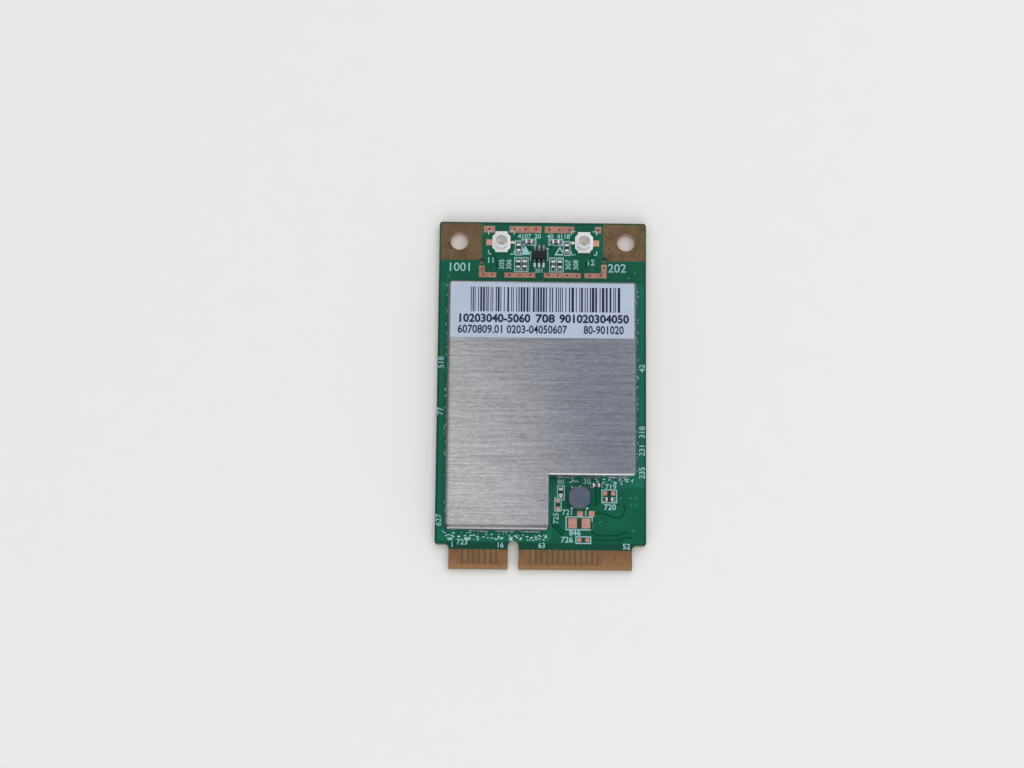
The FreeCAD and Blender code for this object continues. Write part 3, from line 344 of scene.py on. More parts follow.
# %% Copper and gold
# name, light tone, dark tone, size of the stains in mm, roughness, other settings, solids
METALS = [
    ("bare_copper", (190, 142, 128), (166, 121, 108), 0.7, 0.42, {}, "copper_strips"),
    ("pad_copper", (222, 168, 152), (198, 146, 132), 0.5, 0.38, {}, "bare_pads"),
    ("dull_gold", (120, 97, 68), (98, 79, 55), 1.6, 0.4,
     {"metallic": 0.75, "wall": (226, 184, 162)}, "corner_plating_left", "corner_plating_right"),
    ("contact_gold", (150, 118, 86), (130, 101, 74), 0.9, 0.32,
     {"metallic": 0.8, "stretch": (1, 3, 1)}, "edge_contacts_top", "edge_contacts_under"),
    ("pin_gold", (232, 214, 176), (214, 192, 150), 0.2, 0.25, {"metallic": 0.8, "edge": 0.05},
     "socket_pin_left", "socket_pin_right"),
    ("tin_plate", (214, 216, 218), (184, 186, 188), 0.3, 0.28, {"edge": 0.03}, "tinned_pads",
     "inductor_terminals", "inner_capacitor_ends", "memory_chip_leads", "radio_chip_contacts"),
    ("end_cap", (252, 253, 255), (214, 218, 224), 0.3, 0.25, {"metallic": 0.6, "edge": 0.03},
     "resistor_ends", "capacitor_ends"),
    ("dull_lead", (150, 153, 160), (112, 115, 124), 0.3, 0.3, {"edge": 0.03},
     "switch_chip_leads"),
    ("socket_silver", (244, 244, 246), (226, 226, 230), 0.5, 0.25,
     {"metallic": 0.55, "edge": 0.05}, "socket_ring_left", "socket_ring_right"),
    ("winding_wire", (176, 98, 62), (128, 66, 40), 0.4, 0.35, {}, "inductor_winding"),
    # the via rims are a lighter gold than the corner pads: a painted highlight
    ("via_rim", (156, 130, 96), (132, 110, 80), 0.2, 0.35, {"metallic": 0.75}),
    ("solder", (160, 166, 172), (92, 98, 104), 0.25, 0.2, {}),
    # a darker copy of solder, a painted shade: for the banks by the shield and the toes behind the
    # chip
    ("shaded_solder", (150, 153, 160), (96, 99, 107), 0.3, 0.3, {}),
    # a whiter copy of solder, a painted highlight: for the toes in front of the chip
    ("highlight_solder", (240, 250, 250), (200, 216, 216), 0.3, 0.2, {"metallic": 0.7}),
    # pale cyan-white solder for the beads: a painted glint
    ("bead_solder_glint", (206, 244, 248), (160, 202, 208), 0.3, 0.25, {"metallic": 0.6}),
]
WALL_FOOT_SHADE = tint(70, 52, 38)


def metal_finish(name, light, dark, stain_size, rough, metallic=1.0, edge=0.0,
                 stretch=(1, 1, 1), wall=None):
    """A plain metal with stains of two tones, and on upright walls a tone that fades down into a
    painted shade.
    """
    finish = Finish(name)
    stain_size *= MM
    stain = finish.noise(stain_size, stretch=stretch, detail=4.0, roughness=0.6)
    fine = finish.noise(stain_size / 9, detail=1.0)
    colour = finish.mix(finish.smooth(stain, 0.32, 0.68), tint(*dark), tint(*light))
    if wall:
        # painted shade: the wall's tone darkens towards the foot of the hole
        depth = finish.smooth(finish.axis("Z"), board_low.z + 0.1 * MM, BOARD_TOP - 0.35 * MM)
        colour = finish.mix(finish.upright(), colour, finish.mix(depth, WALL_FOOT_SHADE, tint(*wall)))
    gloss = finish.smooth(stain, 0.3, 0.7, rough + 0.08, rough - 0.05)
    relief = finish.bump(fine, stain_size / 160, edge * MM)
    return finish.set(Base_Color=colour, Roughness=gloss, Metallic=metallic, Normal=relief)


for name, light, dark, stain_size, rough, settings, *solids in METALS:
    finishes[name] = metal_finish(name, light, dark, stain_size, rough, **settings)
    dress(name, *solids)
print(len(METALS), "metal finishes")

# %% [markdown]
# The shield is sheet metal with a fine grain brushed across the card. Brushing leaves
# straight, hair-thin scratches, so the tone comes from two layers of straight dashes along
# the brushed way, which is turned on the side walls, and a drawn-out noise gives the height.
# The tone carries painted light. A painted reflection, a wide, soft step of the tone, makes
# the sheet lighter at its near left and cooler on its right, and a painted light brightens it
# towards the front. The side walls, where it was folded down, carry a painted shade, and the
# front walls an even tone: a painted shade left of the step and a painted highlight beside it.
# The bend is painted on the top too: a painted shade at the left hem and behind the front
# edge, and a painted highlight along the step.

# %% Brushed shield
SHEET_NEAR_LIT, SHEET_FAR_DIM = (0.60, 0.60, 0.62, 1), (0.50, 0.50, 0.515, 1)
SHEET_RIGHT_REFLECTION, BEND_SHADE = (0.245, 0.262, 0.31, 1), (0.1, 0.1, 0.11, 1)
FOLD_SHADE, BEND_HIGHLIGHT = (0.36, 0.37, 0.39, 1), (0.55, 0.57, 0.6, 1)
DARK_STREAK, LIGHT_STREAK = (0.45, 0.45, 0.45, 1), (1.5, 1.5, 1.5, 1)
SIDE_SHADE = (0.3, 0.3, 0.32, 1)


def brushed_finish():
    finish = Finish("brushed_shield")
    x, y, z = (finish.axis(axis) for axis in "XYZ")
    sideways = finish.facing("X").math("ABSOLUTE")
    folded = finish.smooth(finish.facing("Y") * -1, 0.1, 0.5)
    turned = sideways > 0.7
    along, across = x + (y - x) * turned, y + (x - y) * turned + z
    fine = finish.scratches(along, across, 1.0 * MM, 0.09 * MM)
    coarse = finish.scratches(along, across, 16.0 * MM, 0.17 * MM)
    brushed = finish.node("ShaderNodeCombineXYZ", {0: along, 1: across})
    hair = finish.noise(0.04 * MM, stretch=(50, 1, 1), detail=2.0, place=brushed)
    cloud = finish.noise(6 * MM, detail=1.0)
    # painted reflection: lighter at the near left, cooler and darker on the right
    painted_reflection = finish.smooth(x + y * 0.28 + cloud * (5 * MM), -13.5 * MM, 12.5 * MM)
    # painted light: the sheet is lighter towards the front
    light = finish.mix(finish.smooth(y, -16 * MM, 8 * MM), SHEET_NEAR_LIT, SHEET_FAR_DIM)
    beside_step = x > step_x
    # front walls get an even tone: a painted shade left of the step, a painted highlight beside it
    tone = finish.mix(folded, finish.mix(painted_reflection, light, SHEET_RIGHT_REFLECTION),
                      finish.mix(beside_step, FOLD_SHADE, BEND_HIGHLIGHT))
    # painted highlight along the bend at the step
    step_highlight = finish.smooth(y, step_y + 0.2 * MM, step_y + 0.4 * MM, 1.0, 0.0) * beside_step
    tone = finish.mix(step_highlight, tone, BEND_HIGHLIGHT)
    # painted shade at the left hem and behind the front edge
    hem_shade = finish.smooth(x, lid_low.x + 0.05 * MM, lid_low.x + 0.7 * MM, 0.6, 0.0)
    front_bend_shade = (finish.smooth(y, lid_low.y + 0.24 * MM, lid_low.y + 0.36 * MM)
            * finish.smooth(y, lid_low.y + 0.5 * MM, lid_low.y + 0.8 * MM, 0.65, 0.0))
    tone = finish.mix(hem_shade + front_bend_shade, tone, BEND_SHADE)
    streak = finish.smooth(fine, 0.2, 0.8, 0.0, 0.5) + finish.smooth(coarse, 0.2, 0.8, 0.0, 0.5)
    shade = finish.mix(streak, DARK_STREAK, LIGHT_STREAK)
    # painted shade on the side walls
    shade = finish.mix(finish.smooth(sideways, 0.1, 0.7, 0.0, 0.6), shade, SIDE_SHADE)
    colour = finish.node("ShaderNodeMix", {0: 1.0, 6: tone, 7: shade}, out=2,
                         data_type="RGBA", blend_type="MULTIPLY")
    gloss = finish.smooth(hair, 0.2, 0.8, 0.34, 0.46)
    relief = finish.bump(hair, 0.004 * MM, 0.05 * MM)
    return finish.set(Base_Color=colour, Roughness=gloss, Metallic=1.0, Normal=relief)


finishes["brushed_shield"] = brushed_finish()
dress("brushed_shield", "shield_lid", "shield_frame", "crystal_cover")
print("shield finish has", len(finishes["brushed_shield"].node_tree.nodes), "nodes")

# %% [markdown]
# Plastics, ceramics and paper share one recipe: a base tone with a slight cloud, a gloss
# that varies with it, a fine grain and rounded edges. Moulded chips are matt and nearly
# black, glazed resistors shine, the ferrite is grey with a violet tinge, and the paper of
# the label is a cool white.

# %% Plastic, ceramic and paper
# name, two tones, size of the cloud in mm, roughness, grain in mm, other settings, solids
SOLIDS = [
    ("black_mould", (12, 12, 18), (20, 20, 27), 0.8, 0.5, 0.05, {"edge": 0.04},
     "switch_chip_body", "radio_chip", "amplifier_left", "amplifier_right",
     "memory_chip_body", "regulator"),
    ("grey_ferrite", (79, 86, 106), (89, 96, 116), 1.2, 0.55, 0.06, {"edge": 0.06},
     "inductor_core"),
    ("glazed_black", (16, 17, 20), (26, 27, 30), 0.3, 0.25, 0.04, {"edge": 0.03, "coat": 0.5},
     "resistor_blocks"),
    ("grey_ceramic", (96, 94, 96), (116, 112, 111), 0.3, 0.4, 0.04, {"edge": 0.03},
     "capacitor_blocks", "inner_capacitor_blocks"),
    ("white_ceramic", (214, 210, 200), (224, 221, 212), 0.5, 0.4, 0.05, {"edge": 0.04},
     "filter_left", "filter_right", "crystal_case"),
    ("socket_white", (236, 238, 242), (246, 248, 250), 0.6, 0.35, 0.05,
     {"edge": 0.05, "coat": 0.3}, "socket_base_left", "socket_base_right"),
    ("label_paper", (181, 194, 216), (186, 199, 220), 4.0, 0.42, 0.07, {}, "label"),
    ("dark_ink", (2, 9, 54), (8, 17, 70), 0.4, 0.45, 0.05, {}),
    ("white_ink", (158, 203, 208), (172, 216, 221), 0.3, 0.5, 0.05, {}),
    ("hole_shadow", (34, 24, 20), (44, 32, 26), 0.2, 0.7, 0.05, {}),
    ("bare_laminate", (24, 38, 34), (34, 50, 45), 0.3, 0.6, 0.05, {}),
    ("mask_over_hole", (24, 108, 82), (34, 118, 92), 0.2, 0.3, 0.06, {}),
    ("mask_over_track", (0, 70, 50), (4, 78, 57), 1.0, 0.35, 0.1, {"shine": 0.1}),
]


def solid_finish(name, colour, other, size, rough, grain, edge=0.0, coat=0.0, shine=0.35):
    """A solid that isn't metal, with a cloud of two tones and a fine grain."""
    finish = Finish(name)
    grain *= MM
    cloud = finish.noise(size * MM, detail=3.0)
    fine = finish.noise(grain, detail=2.0)
    tone = finish.mix(finish.smooth(cloud, 0.3, 0.7), tint(*colour), tint(*other))
    gloss = finish.smooth(fine, 0.3, 0.7, rough - 0.05, rough + 0.07)
    relief = finish.bump(fine, grain / 14, edge * MM)
    return finish.set(Base_Color=tone, Roughness=gloss, Normal=relief, Coat_Weight=coat,
                      Coat_Roughness=0.1, Specular_IOR_Level=shine)


for name, colour, other, size, rough, grain, settings, *solids in SOLIDS:
    finishes[name] = solid_finish(name, colour, other, size, rough, grain, **settings)
    dress(name, *solids)
print(len(SOLIDS), "other finishes")

# %% [markdown]
# Print is a thin film on the real card: white ink on the mask, dark ink on the label. Here
# each stroke is a solid about a hundredth of a millimetre thick, so that it also shows in
# the meshes. Small helpers add a flat bar, a frame of four bars, a disc or triangle and a
# number, and one joins what belongs together and lays it on the card's body.

# %% Helpers for flat marks
FILM = 0.012 * MM
LINE = 0.13 * MM
FIGURE_SHARE = 0.72


def choose(*things):
    """Select these pieces and no others, so that an operator acts on nothing else."""
    bpy.ops.object.select_all(action="DESELECT")
    for thing in things:
        thing.select_set(True)
    if things:
        bpy.context.view_layer.objects.active = things[0]


def bake_place(thing):
    """Put a piece's place, turn and size into its mesh."""
    choose(thing)
    bpy.ops.object.transform_apply(location=True, rotation=True, scale=True)
    return thing


def above(place, height):
    return Vector(place) + Vector((0, 0, height))


def bar(centre, length, width):
    """A flat bar that lies on a level."""
    choose()
    bpy.ops.mesh.primitive_cube_add(size=1, location=above(centre, FILM / 2),
                                    scale=(length, width, FILM))
    return bake_place(bpy.context.object)


def outline(centre, length, width, line=LINE):
    """Four bars round a box."""
    right, back = Vector((length / 2, 0, 0)), Vector((0, width / 2, 0))
    return [bar(centre + back, length + line, line), bar(centre - back, length + line, line),
            bar(centre + right, line, width - line), bar(centre - right, line, width - line)]


def disc(radius, place=(0, 0, 0), corners=12, depth=FILM):
    """A flat disc on a place. With three corners it is a triangle that points up the card."""
    choose()
    bpy.ops.mesh.primitive_cylinder_add(vertices=corners, radius=radius, depth=depth,
                                        location=above(place, depth / 2))
    return bake_place(bpy.context.object)


def inset(shape, rim, shift=None):
    """Inset a flat piece's top and move the middle, or with no shift open the middle."""
    bpy.ops.object.mode_set(mode="EDIT")
    bpy.ops.mesh.select_mode(type="FACE")
    bpy.ops.mesh.select_all(action="DESELECT")
    bpy.ops.object.mode_set(mode="OBJECT")
    for face in shape.data.polygons:
        face.select = face.normal.z > 0.5 or (shift is None and face.normal.z < -0.5)
    bpy.ops.object.mode_set(mode="EDIT")
    bpy.ops.mesh.inset(thickness=rim)
    if shift is None:
        bpy.ops.mesh.bridge_edge_loops()
    else:
        bpy.ops.transform.translate(value=(0, 0, shift))
    bpy.ops.object.mode_set(mode="OBJECT")
    return shape


def number(figures, centre, height, turned=0.0, bold=0.012 * MM, under=False):
    """Plain figures, made a mesh while they still stand at the origin."""
    choose()
    bpy.ops.object.text_add(location=(0, 0, 0))
    words = bpy.context.object.data
    words.body = figures
    words.size = height / FIGURE_SHARE
    words.align_x = words.align_y = "CENTER"
    words.extrude = FILM / 2
    words.offset = bold
    words.resolution_u = 3
    bpy.ops.object.convert(target="MESH")
    shape = bpy.context.object
    bpy.ops.object.mode_set(mode="EDIT")
    bpy.ops.mesh.select_all(action="SELECT")
    bpy.ops.mesh.remove_doubles(threshold=1e-7)
    bpy.ops.mesh.normals_make_consistent(inside=False)
    bpy.ops.object.mode_set(mode="OBJECT")
    shape.rotation_euler = (0, math.pi if under else 0, turned)
    shape.location = above(centre, FILM / 2)
    return bake_place(shape)


def fit_width(shape, width):
    """Stretch a piece across the card, about its own middle, until it is that wide."""
    xs = [vertex.co.x for vertex in shape.data.vertices]
    middle, wide = (min(xs) + max(xs)) / 2, max(xs) - min(xs)
    for vertex in shape.data.vertices:
        vertex.co.x = middle + (vertex.co.x - middle) * width / wide
    return shape


def finish_piece(name, parts, finish):
    """Join parts to one piece, give it its finish and lay it on the card."""
    choose(*parts)
    bpy.ops.object.join()
    piece = bpy.context.object
    piece.name = piece.data.name = name
    piece.data.materials.clear()
    piece.data.materials.append(finishes[finish])
    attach(piece, "root")
    piece.data.calc_loop_triangles()
    print(f"{name}: {len(piece.data.loop_triangles)} triangles")
    return piece

# %% [markdown]
# The label carries a row of bars and two rows of figures. The bars follow no code: a seeded
# draw picks each bar and each gap from a few widths, which looks right and reads as nothing.
# The figures are plain numbers, set bold and stretched to the width of their line.

# %% Label print
label_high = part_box("label")[1]
BAR_UNIT = 0.125 * MM
BAR_WIDTHS, BAR_GAPS = (0.9, 1, 1, 1.3, 2.1, 2.9), (1, 1.2, 1.6, 2.2, 3)
BARS_LEFT, BARS_RIGHT = -10.3 * MM, 11.35 * MM
BARS_HEIGHT = 3.65 * MM
BARS_FROM_TOP = 0.62 * MM
LABEL_FIGURES = 1.2 * MM
# figures, left end, right end, middle below the label's edge, boldness
LABEL_LINES = [
    ("10203040-5060", -12.05, -1.85, 5.32, 0.055), ("708", -0.95, 1.8, 5.32, 0.055),
    ("901020304050", 2.45, 12.45, 5.32, 0.055), ("6070809.01", -12.0, -5.6, 6.95, 0.03),
    ("0203-04050607", -5.1, 3.55, 6.95, 0.03), ("80-901020", 5.95, 11.7, 6.95, 0.03),
]


def label_bars():
    draw = random.Random(7)
    bars = []
    x = BARS_LEFT
    y = label_high.y - BARS_FROM_TOP - BARS_HEIGHT / 2
    while x < BARS_RIGHT - 3 * BAR_UNIT:
        width = BAR_UNIT * draw.choice(BAR_WIDTHS)
        bars.append(bar((x + width / 2, y, label_high.z), width, BARS_HEIGHT))
        x += width + BAR_UNIT * draw.choice(BAR_GAPS)
    return bars


def label_line(figures, left, right, from_top, bold):
    middle = ((left + right) / 2 * MM, label_high.y - from_top * MM, label_high.z)
    return fit_width(number(figures, middle, LABEL_FIGURES, bold=bold * MM), (right - left) * MM)


label_print = label_bars() + [label_line(*line) for line in LABEL_LINES]
finish_piece("label_print", label_print, "dark_ink")

# %% [markdown]
# The board's own print marks where each part goes: a box round each footprint, arrows for
# the two antennas and brackets at the sockets. Short lists give each mark its centre and
# size in millimetres.

# %% Marks on the board
# across, up, length and width of the boxes round the footprints
BOXES = [(-3.08, 44.6, 1.95, 2.1), (2.02, 44.6, 1.95, 2.1), (-3.5, 47.1, 0.95, 2.1),
         (3.5, 47.1, 0.95, 2.1), (-2.0, 48.0, 2.0, 0.9), (1.9, 48.0, 2.0, 0.9),
         (2.87, 11.0, 0.95, 2.05), (2.46, 9.3, 0.9, 1.9), (9.75, 10.55, 2.1, 1.85),
         (5.48, 6.6, 3.7, 1.85), (6.09, 4.2, 2.1, 0.95)]
# across, up and width of single lines
DIVIDERS = [(-3.08, 44.6, 2.1), (2.02, 44.6, 2.1), (-1.75, 45.9, 1.5), (0.75, 45.9, 1.5)]
SOCKET_ACROSS, SOCKET_UP = 6.0, 47.9
BRACKET_X, BRACKET_Y, BRACKET = 1.85, 1.75, 0.6


def socket_brackets(across):
    """Short corner marks round one antenna socket."""
    marks = []
    for side_x in (-1, 1):
        for side_y in (-1, 1):
            x, y = across + side_x * BRACKET_X, SOCKET_UP + side_y * BRACKET_Y
            marks.append(bar(on_card(x, y - side_y * 0.25), LINE, BRACKET * MM))
            marks.append(bar(on_card(x - side_x * 0.3, y), BRACKET * MM, LINE))
    return marks


board_marks = []
for across, up, length, width in BOXES:
    board_marks += outline(on_card(across, up), length * MM, width * MM)
for across, up, width in DIVIDERS:
    board_marks.append(bar(on_card(across, up), LINE, width * MM))
for side in (-1, 1):
    board_marks += socket_brackets(side * SOCKET_ACROSS)
board_marks.append(disc(0.95 * MM, on_card(-2.55, 46.55), corners=3))
board_marks.append(inset(disc(0.92 * MM, on_card(2.5, 46.5), corners=3), 0.2 * MM))
for across in (-4.35, 4.35):
    board_marks.append(disc(0.28 * MM, on_card(across, 47.9), corners=3))
first_lead = disc(0.18 * MM, on_card(0.72, 47.0), corners=20)
board_marks.append(inset(first_lead, 0.03 * MM, FILM * 0.3))
finish_piece("board_marks", board_marks, "white_ink")

# %% [markdown]
# Between the bare pads of a missing part the mask stays open and dark laminate shows.

# %% Mask openings
# across, up, length and width
OPENINGS = [(5.52, 6.6, 0.5, 1.25), (6.09, 4.2, 0.32, 0.55), (2.46, 9.3, 0.5, 0.3),
            (9.75, 11.0, 0.35, 0.7)]
openings = [bar(on_card(across, up), length * MM, width * MM)
            for across, up, length, width in OPENINGS]
finish_piece("mask_openings", openings, "bare_laminate")

# %% [markdown]
# A number stands beside each part, turned by a quarter where the board leaves little room.

# %% Numbers on the board
NUMBERS = [
    # figures, across, up, height, quarter turns
    ("1001", -12.0, 44.1, 1.3, 0), ("202", 10.8, 44.1, 1.3, 0),
    ("11", -7.5, 45.2, 0.9, 0), ("12", 6.95, 44.95, 0.9, 0),
    ("305", -5.9, 44.6, 0.75, 1), ("306", -4.85, 44.6, 0.75, 1),
    ("307", 3.75, 44.6, 0.75, 1), ("308", 4.85, 44.6, 0.75, 1),
    ("4107", -2.65, 48.85, 0.7, 0), ("30", -0.75, 48.85, 0.7, 0),
    ("40", 1.1, 48.85, 0.7, 0), ("4118", 3.0, 48.85, 0.7, 0), ("201", -0.5, 43.7, 0.62, 0),
    ("518", -14.45, 29.9, 0.85, 1), ("77", -14.45, 22.7, 0.85, 1), ("627", -14.45, 6.9, 0.85, 1),
    ("42", 14.45, 29.3, 0.85, 1), ("318", 14.45, 19.9, 0.85, 1), ("231", 14.45, 17.3, 0.85, 1),
    ("235", 14.45, 14.0, 0.85, 1), ("80", 2.85, 12.55, 0.7, 0), ("30", 6.55, 12.65, 0.8, 0),
    ("719", 9.95, 11.9, 0.8, 0), ("720", 9.85, 8.95, 0.85, 0), ("725", 2.2, 7.3, 0.8, 1),
    ("721", 3.85, 8.15, 0.8, 0), ("1", 6.4, 8.1, 0.8, 0), ("846", 4.9, 5.2, 0.8, 0),
    ("726", 3.75, 4.2, 0.85, 0), ("1", -12.5, 3.35, 0.75, 0), ("723", -11.1, 3.75, 0.8, 0),
    ("16", -5.7, 3.35, 0.75, 0), ("63", 0.2, 3.35, 0.75, 0), ("52", 12.2, 3.3, 0.8, 0),
]
board_numbers = [number(figures, on_card(across, up), height * MM, turned * math.pi / 2)
                 for figures, across, up, height, turned in NUMBERS]
finish_piece("board_numbers", board_numbers, "white_ink")

# %% [markdown]
# Plated holes, or vias, tie the copper of the two faces together. Seen from above each is a
# dark dot, a painted shadow, in a thin bright rim; on the corner pads the rim is a lighter
# gold than the pad, a painted highlight. One is modelled from a flat disc whose top is inset
# and pressed in, and the rest are copies of it. Holes go right through the board, so the
# corner pads show them on the underside too. A few lie under the mask, which fills them.

# %% Plated holes
VIA_RADIUS = 0.14 * MM
VIA_RIM = 0.065 * MM
SCREW_HOLE = (12.1, 48.05)
# from the screw hole's middle: towards the centreline, and up
VIA_RING = [(-1.9, 1.9), (-0.1, 2.15), (1.7, 2.0), (2.5, 1.35), (2.5, -1.0), (1.7, -2.05),
            (-0.1, -2.2), (-1.9, -1.8), (-2.35, 0.1), (3.0, 2.3), (3.0, 0.9), (3.0, -0.2)]
STRIP_PITCH = 1.45 * MM
PLAIN_STRIP = 1.2 * MM
STRIP_INSET = 0.4 * MM
MASKED_SPOTS = [(11.4, 10.3), (12.85, 10.3), (13.5, 10.3), (11.5, 9.3), (12.85, 9.3),
                (13.6, 9.3), (8.5, 7.9), (8.5, 6.8), (13.2, 5.6), (13.4, 43.5), (12.5, 42.7),
                (-13.6, 42.8), (-7.9, 46.7), (-7.1, 43.9), (7.2, 43.9), (-0.1, 42.2)]


def copies(pattern, places, under=False):
    """Copies of a small piece, each with its own mesh, at places on either face."""
    made = []
    flip = Matrix.Rotation(math.pi, 4, "X") if under else Matrix()
    for place in places:
        copy = pattern.copy()
        copy.data = pattern.data.copy()
        bpy.context.collection.objects.link(copy)
        copy.data.transform(Matrix.Translation(place) @ flip)
        made.append(copy)
    return made


def strip_vias():
    """A row of holes along each bare copper strip, and one in the arm of a bent strip."""
    spots = []
    for low, high in islands("copper_strips"):
        y = (low.y + high.y) / 2
        if high.y - low.y > PLAIN_STRIP:
            y = low.y + STRIP_INSET
            arm_x = low.x + STRIP_INSET if low.x < 0 else high.x - STRIP_INSET
            spots.append(Vector((arm_x, high.y - 0.5 * MM, BOARD_TOP)))
        length = high.x - low.x
        count = round(length / STRIP_PITCH)
        spots += [Vector((low.x + length * (index + 0.5) / count, y, BOARD_TOP))
                  for index in range(count)]
    return spots


def corner_vias(level):
    """Holes round both screw holes, on one face."""
    across, up = SCREW_HOLE
    return [on_card(side * (across - inward), up + rise, level)
            for side in (-1, 1) for inward, rise in VIA_RING]


top_spots, under_spots = corner_vias(BOARD_TOP), corner_vias(board_low.z)
strip_spots = strip_vias()
rim_pattern = inset(disc(VIA_RADIUS + VIA_RIM), VIA_RIM, -FILM * 0.7)
dot_pattern = disc(VIA_RADIUS, (0, 0, FILM * 0.2), depth=FILM * 0.5)
corner_rims = copies(rim_pattern, top_spots) + copies(rim_pattern, under_spots, under=True)
mouths = (copies(dot_pattern, top_spots + strip_spots)
          + copies(dot_pattern, under_spots, under=True))
finish_piece("corner_via_rims", corner_rims, "via_rim")
finish_piece("strip_via_rims", copies(rim_pattern, strip_spots), "bare_copper")
finish_piece("via_mouths", mouths, "hole_shadow")
masked = copies(rim_pattern, [on_card(*spot) for spot in MASKED_SPOTS])
finish_piece("masked_vias", masked, "mask_over_hole")

# %% [markdown]
# Solder is what joins the shield to the board. Melted metal wets both and sets as a smooth
# concave bank with lumps where there was more of it. Each bank starts as a box along the
# wall that is subdivided. Its points then sink away from the wall, and two sizes of smooth
# noise swell and shrink it on the way. The banks stand for the plain wedges of the model,
# and they keep close to the wall, where little light reaches them. Their solder is toned
# down too, a painted shade.

# %% Solder along the shield
LUMP = 0.45 * MM
SMALL_LUMP = 0.17 * MM
BANK_REACH = 0.6
BANK_CUTS = 9
BANK_THINNEST = 0.05
BANK_PULL = 0.75
END_LEFT, END_RISE = 0.25, 5
EDGE_SLACK = 0.1 * MM


def bank(low, high, facing, ripple, slope=1.5):
    """One bank of solder in a box, with its high side against the wall it faces away from."""
    choose()
    centre, size = (low + high) / 2, high - low
    bpy.ops.mesh.primitive_cube_add(size=1, location=centre, scale=size)
    metal = bake_place(bpy.context.object)
    bpy.ops.object.mode_set(mode="EDIT")
    bpy.ops.mesh.select_all(action="SELECT")
    bpy.ops.mesh.subdivide(number_cuts=BANK_CUTS)
    bpy.ops.object.mode_set(mode="OBJECT")
    out = Vector(facing)
    along = Vector((abs(out.y), abs(out.x), 0))
    reach, span = abs(size.dot(out)), size.dot(along)
    wall = centre - out * reach / 2
    for vertex in metal.data.vertices:
        spot = vertex.co.copy()
        away = max(0, min(1, (spot - wall).dot(out) / reach))
        end = 1 - abs((spot - centre).dot(along)) / span * 2
        lump = 1 + ripple * (noise.noise(spot / LUMP) + 0.3 * noise.noise(spot / SMALL_LUMP))
        taper = min(1, end * END_RISE + END_LEFT)
        share = max(BANK_THINNEST, (1 - away) ** slope * lump * taper)
        vertex.co.z = low.z + (spot.z - low.z) * share
        vertex.co -= out * away * reach * (1 - min(1.1, lump * taper)) * BANK_PULL
    metal.data.update()
    bpy.ops.object.shade_smooth()
    return metal


def shield_banks():
    """A bank for each wedge of the model, closer to the wall than the wedge."""
    frame_low, frame_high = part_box("shield_frame")
    banks = []
    for low, high in islands("shield_solder"):
        if high.x - low.x > high.y - low.y:
            facing = Vector((0, 1 if low.y > frame_high.y - EDGE_SLACK else -1, 0))
        else:
            facing = Vector((-1 if high.x < frame_low.x + EDGE_SLACK else 1, 0, 0))
        spare = facing * abs((high - low).dot(facing)) * (1 - BANK_REACH)
        if facing.x + facing.y > 0:
            high -= spare
        else:
            low -= spare
        banks.append(bank(low, high, facing, 0.7, slope=1.9))
    return banks


# the banks take the darker solder, a painted shade
seam = finish_piece("solder_banks", shield_banks(), "shaded_solder")
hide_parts("shield_solder")

# %% [markdown]
# Each chip end stands on its pad in a small bank of solder, which fills what the pad shows
# outside the end cap. The toes of the six-lead chip are a whiter solder in front, a painted
# highlight, and a darker one behind the chip, a painted shade.

# %% Solder at the chip ends
TOE_REACH = 0.65 * MM
TOE_MARGIN = 0.06 * MM
TOE_HEIGHT = 0.18 * MM
CAP_SHARE = 0.75


def chip_banks():
    """A bank on each tinned pad, outside the end cap that stands nearest to its middle."""
    caps = islands("resistor_ends") + islands("capacitor_ends")
    banks = []
    for pad_low, pad_high in islands("tinned_pads"):
        middle = (pad_low + pad_high) / 2
        cap_low, cap_high = min(caps, key=lambda cap: ((cap[0] + cap[1]) / 2 - middle).length)
        shift = middle - (cap_low + cap_high) / 2
        low = Vector(map(max, pad_low, cap_low))
        high = Vector(map(min, pad_high, cap_high))
        low.z, high.z = BOARD_TOP, BOARD_TOP + (cap_high.z - BOARD_TOP) * CAP_SHARE
        axis = 0 if abs(shift.x) > abs(shift.y) else 1
        facing = Vector()
        facing[axis] = math.copysign(1, shift[axis])
        if facing[axis] > 0:
            low[axis], high[axis] = cap_high[axis], pad_high[axis]
        else:
            low[axis], high[axis] = pad_low[axis], cap_low[axis]
        banks.append(bank(low, high, facing, 0.25))
    return banks


def lead_banks(side):
    """A long, low bank at each toe on one side of the six-lead chip, 1 behind, -1 in front."""
    banks = []
    chip_low, chip_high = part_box("switch_chip_body")
    for low, high in islands("switch_chip_leads"):
        if (low.y > (chip_low.y + chip_high.y) / 2) == (side > 0):
            toe = high.y if side > 0 else low.y
            first, last = sorted((toe, toe + side * TOE_REACH))
            bank_low = Vector((low.x - TOE_MARGIN, first, BOARD_TOP))
            bank_high = Vector((high.x + TOE_MARGIN, last, BOARD_TOP + TOE_HEIGHT))
            banks.append(bank(bank_low, bank_high, (0, side, 0), 0.3))
    return banks


finish_piece("chip_solder", chip_banks(), "solder")
# toes in front: painted highlight; toes behind: painted shade
finish_piece("front_toe_solder", lead_banks(-1), "highlight_solder")
finish_piece("back_toe_solder", lead_banks(1), "shaded_solder")

# %% [markdown]
# Not all of the solder stayed in the banks. Small beads of it lie beside the shield's foot,
# mostly in front, one sits on the tail of each antenna socket's centre contact, and four
# came out from under the inductor. A bead is a flattened ball, and a seeded draw gives each
# one beside the shield its place, length and width. Their pale cyan-white solder is a
# painted glint.

# %% Solder beads
BEAD_HEIGHT = 0.16 * MM
FRONT = (lid_low.x, step_x)
LEFT_OF_INDUCTOR = (step_x + 2.6 * MM, step_x + 4.2 * MM)
RIGHT_OF_INDUCTOR = (step_x + 6.4 * MM, lid_high.x)
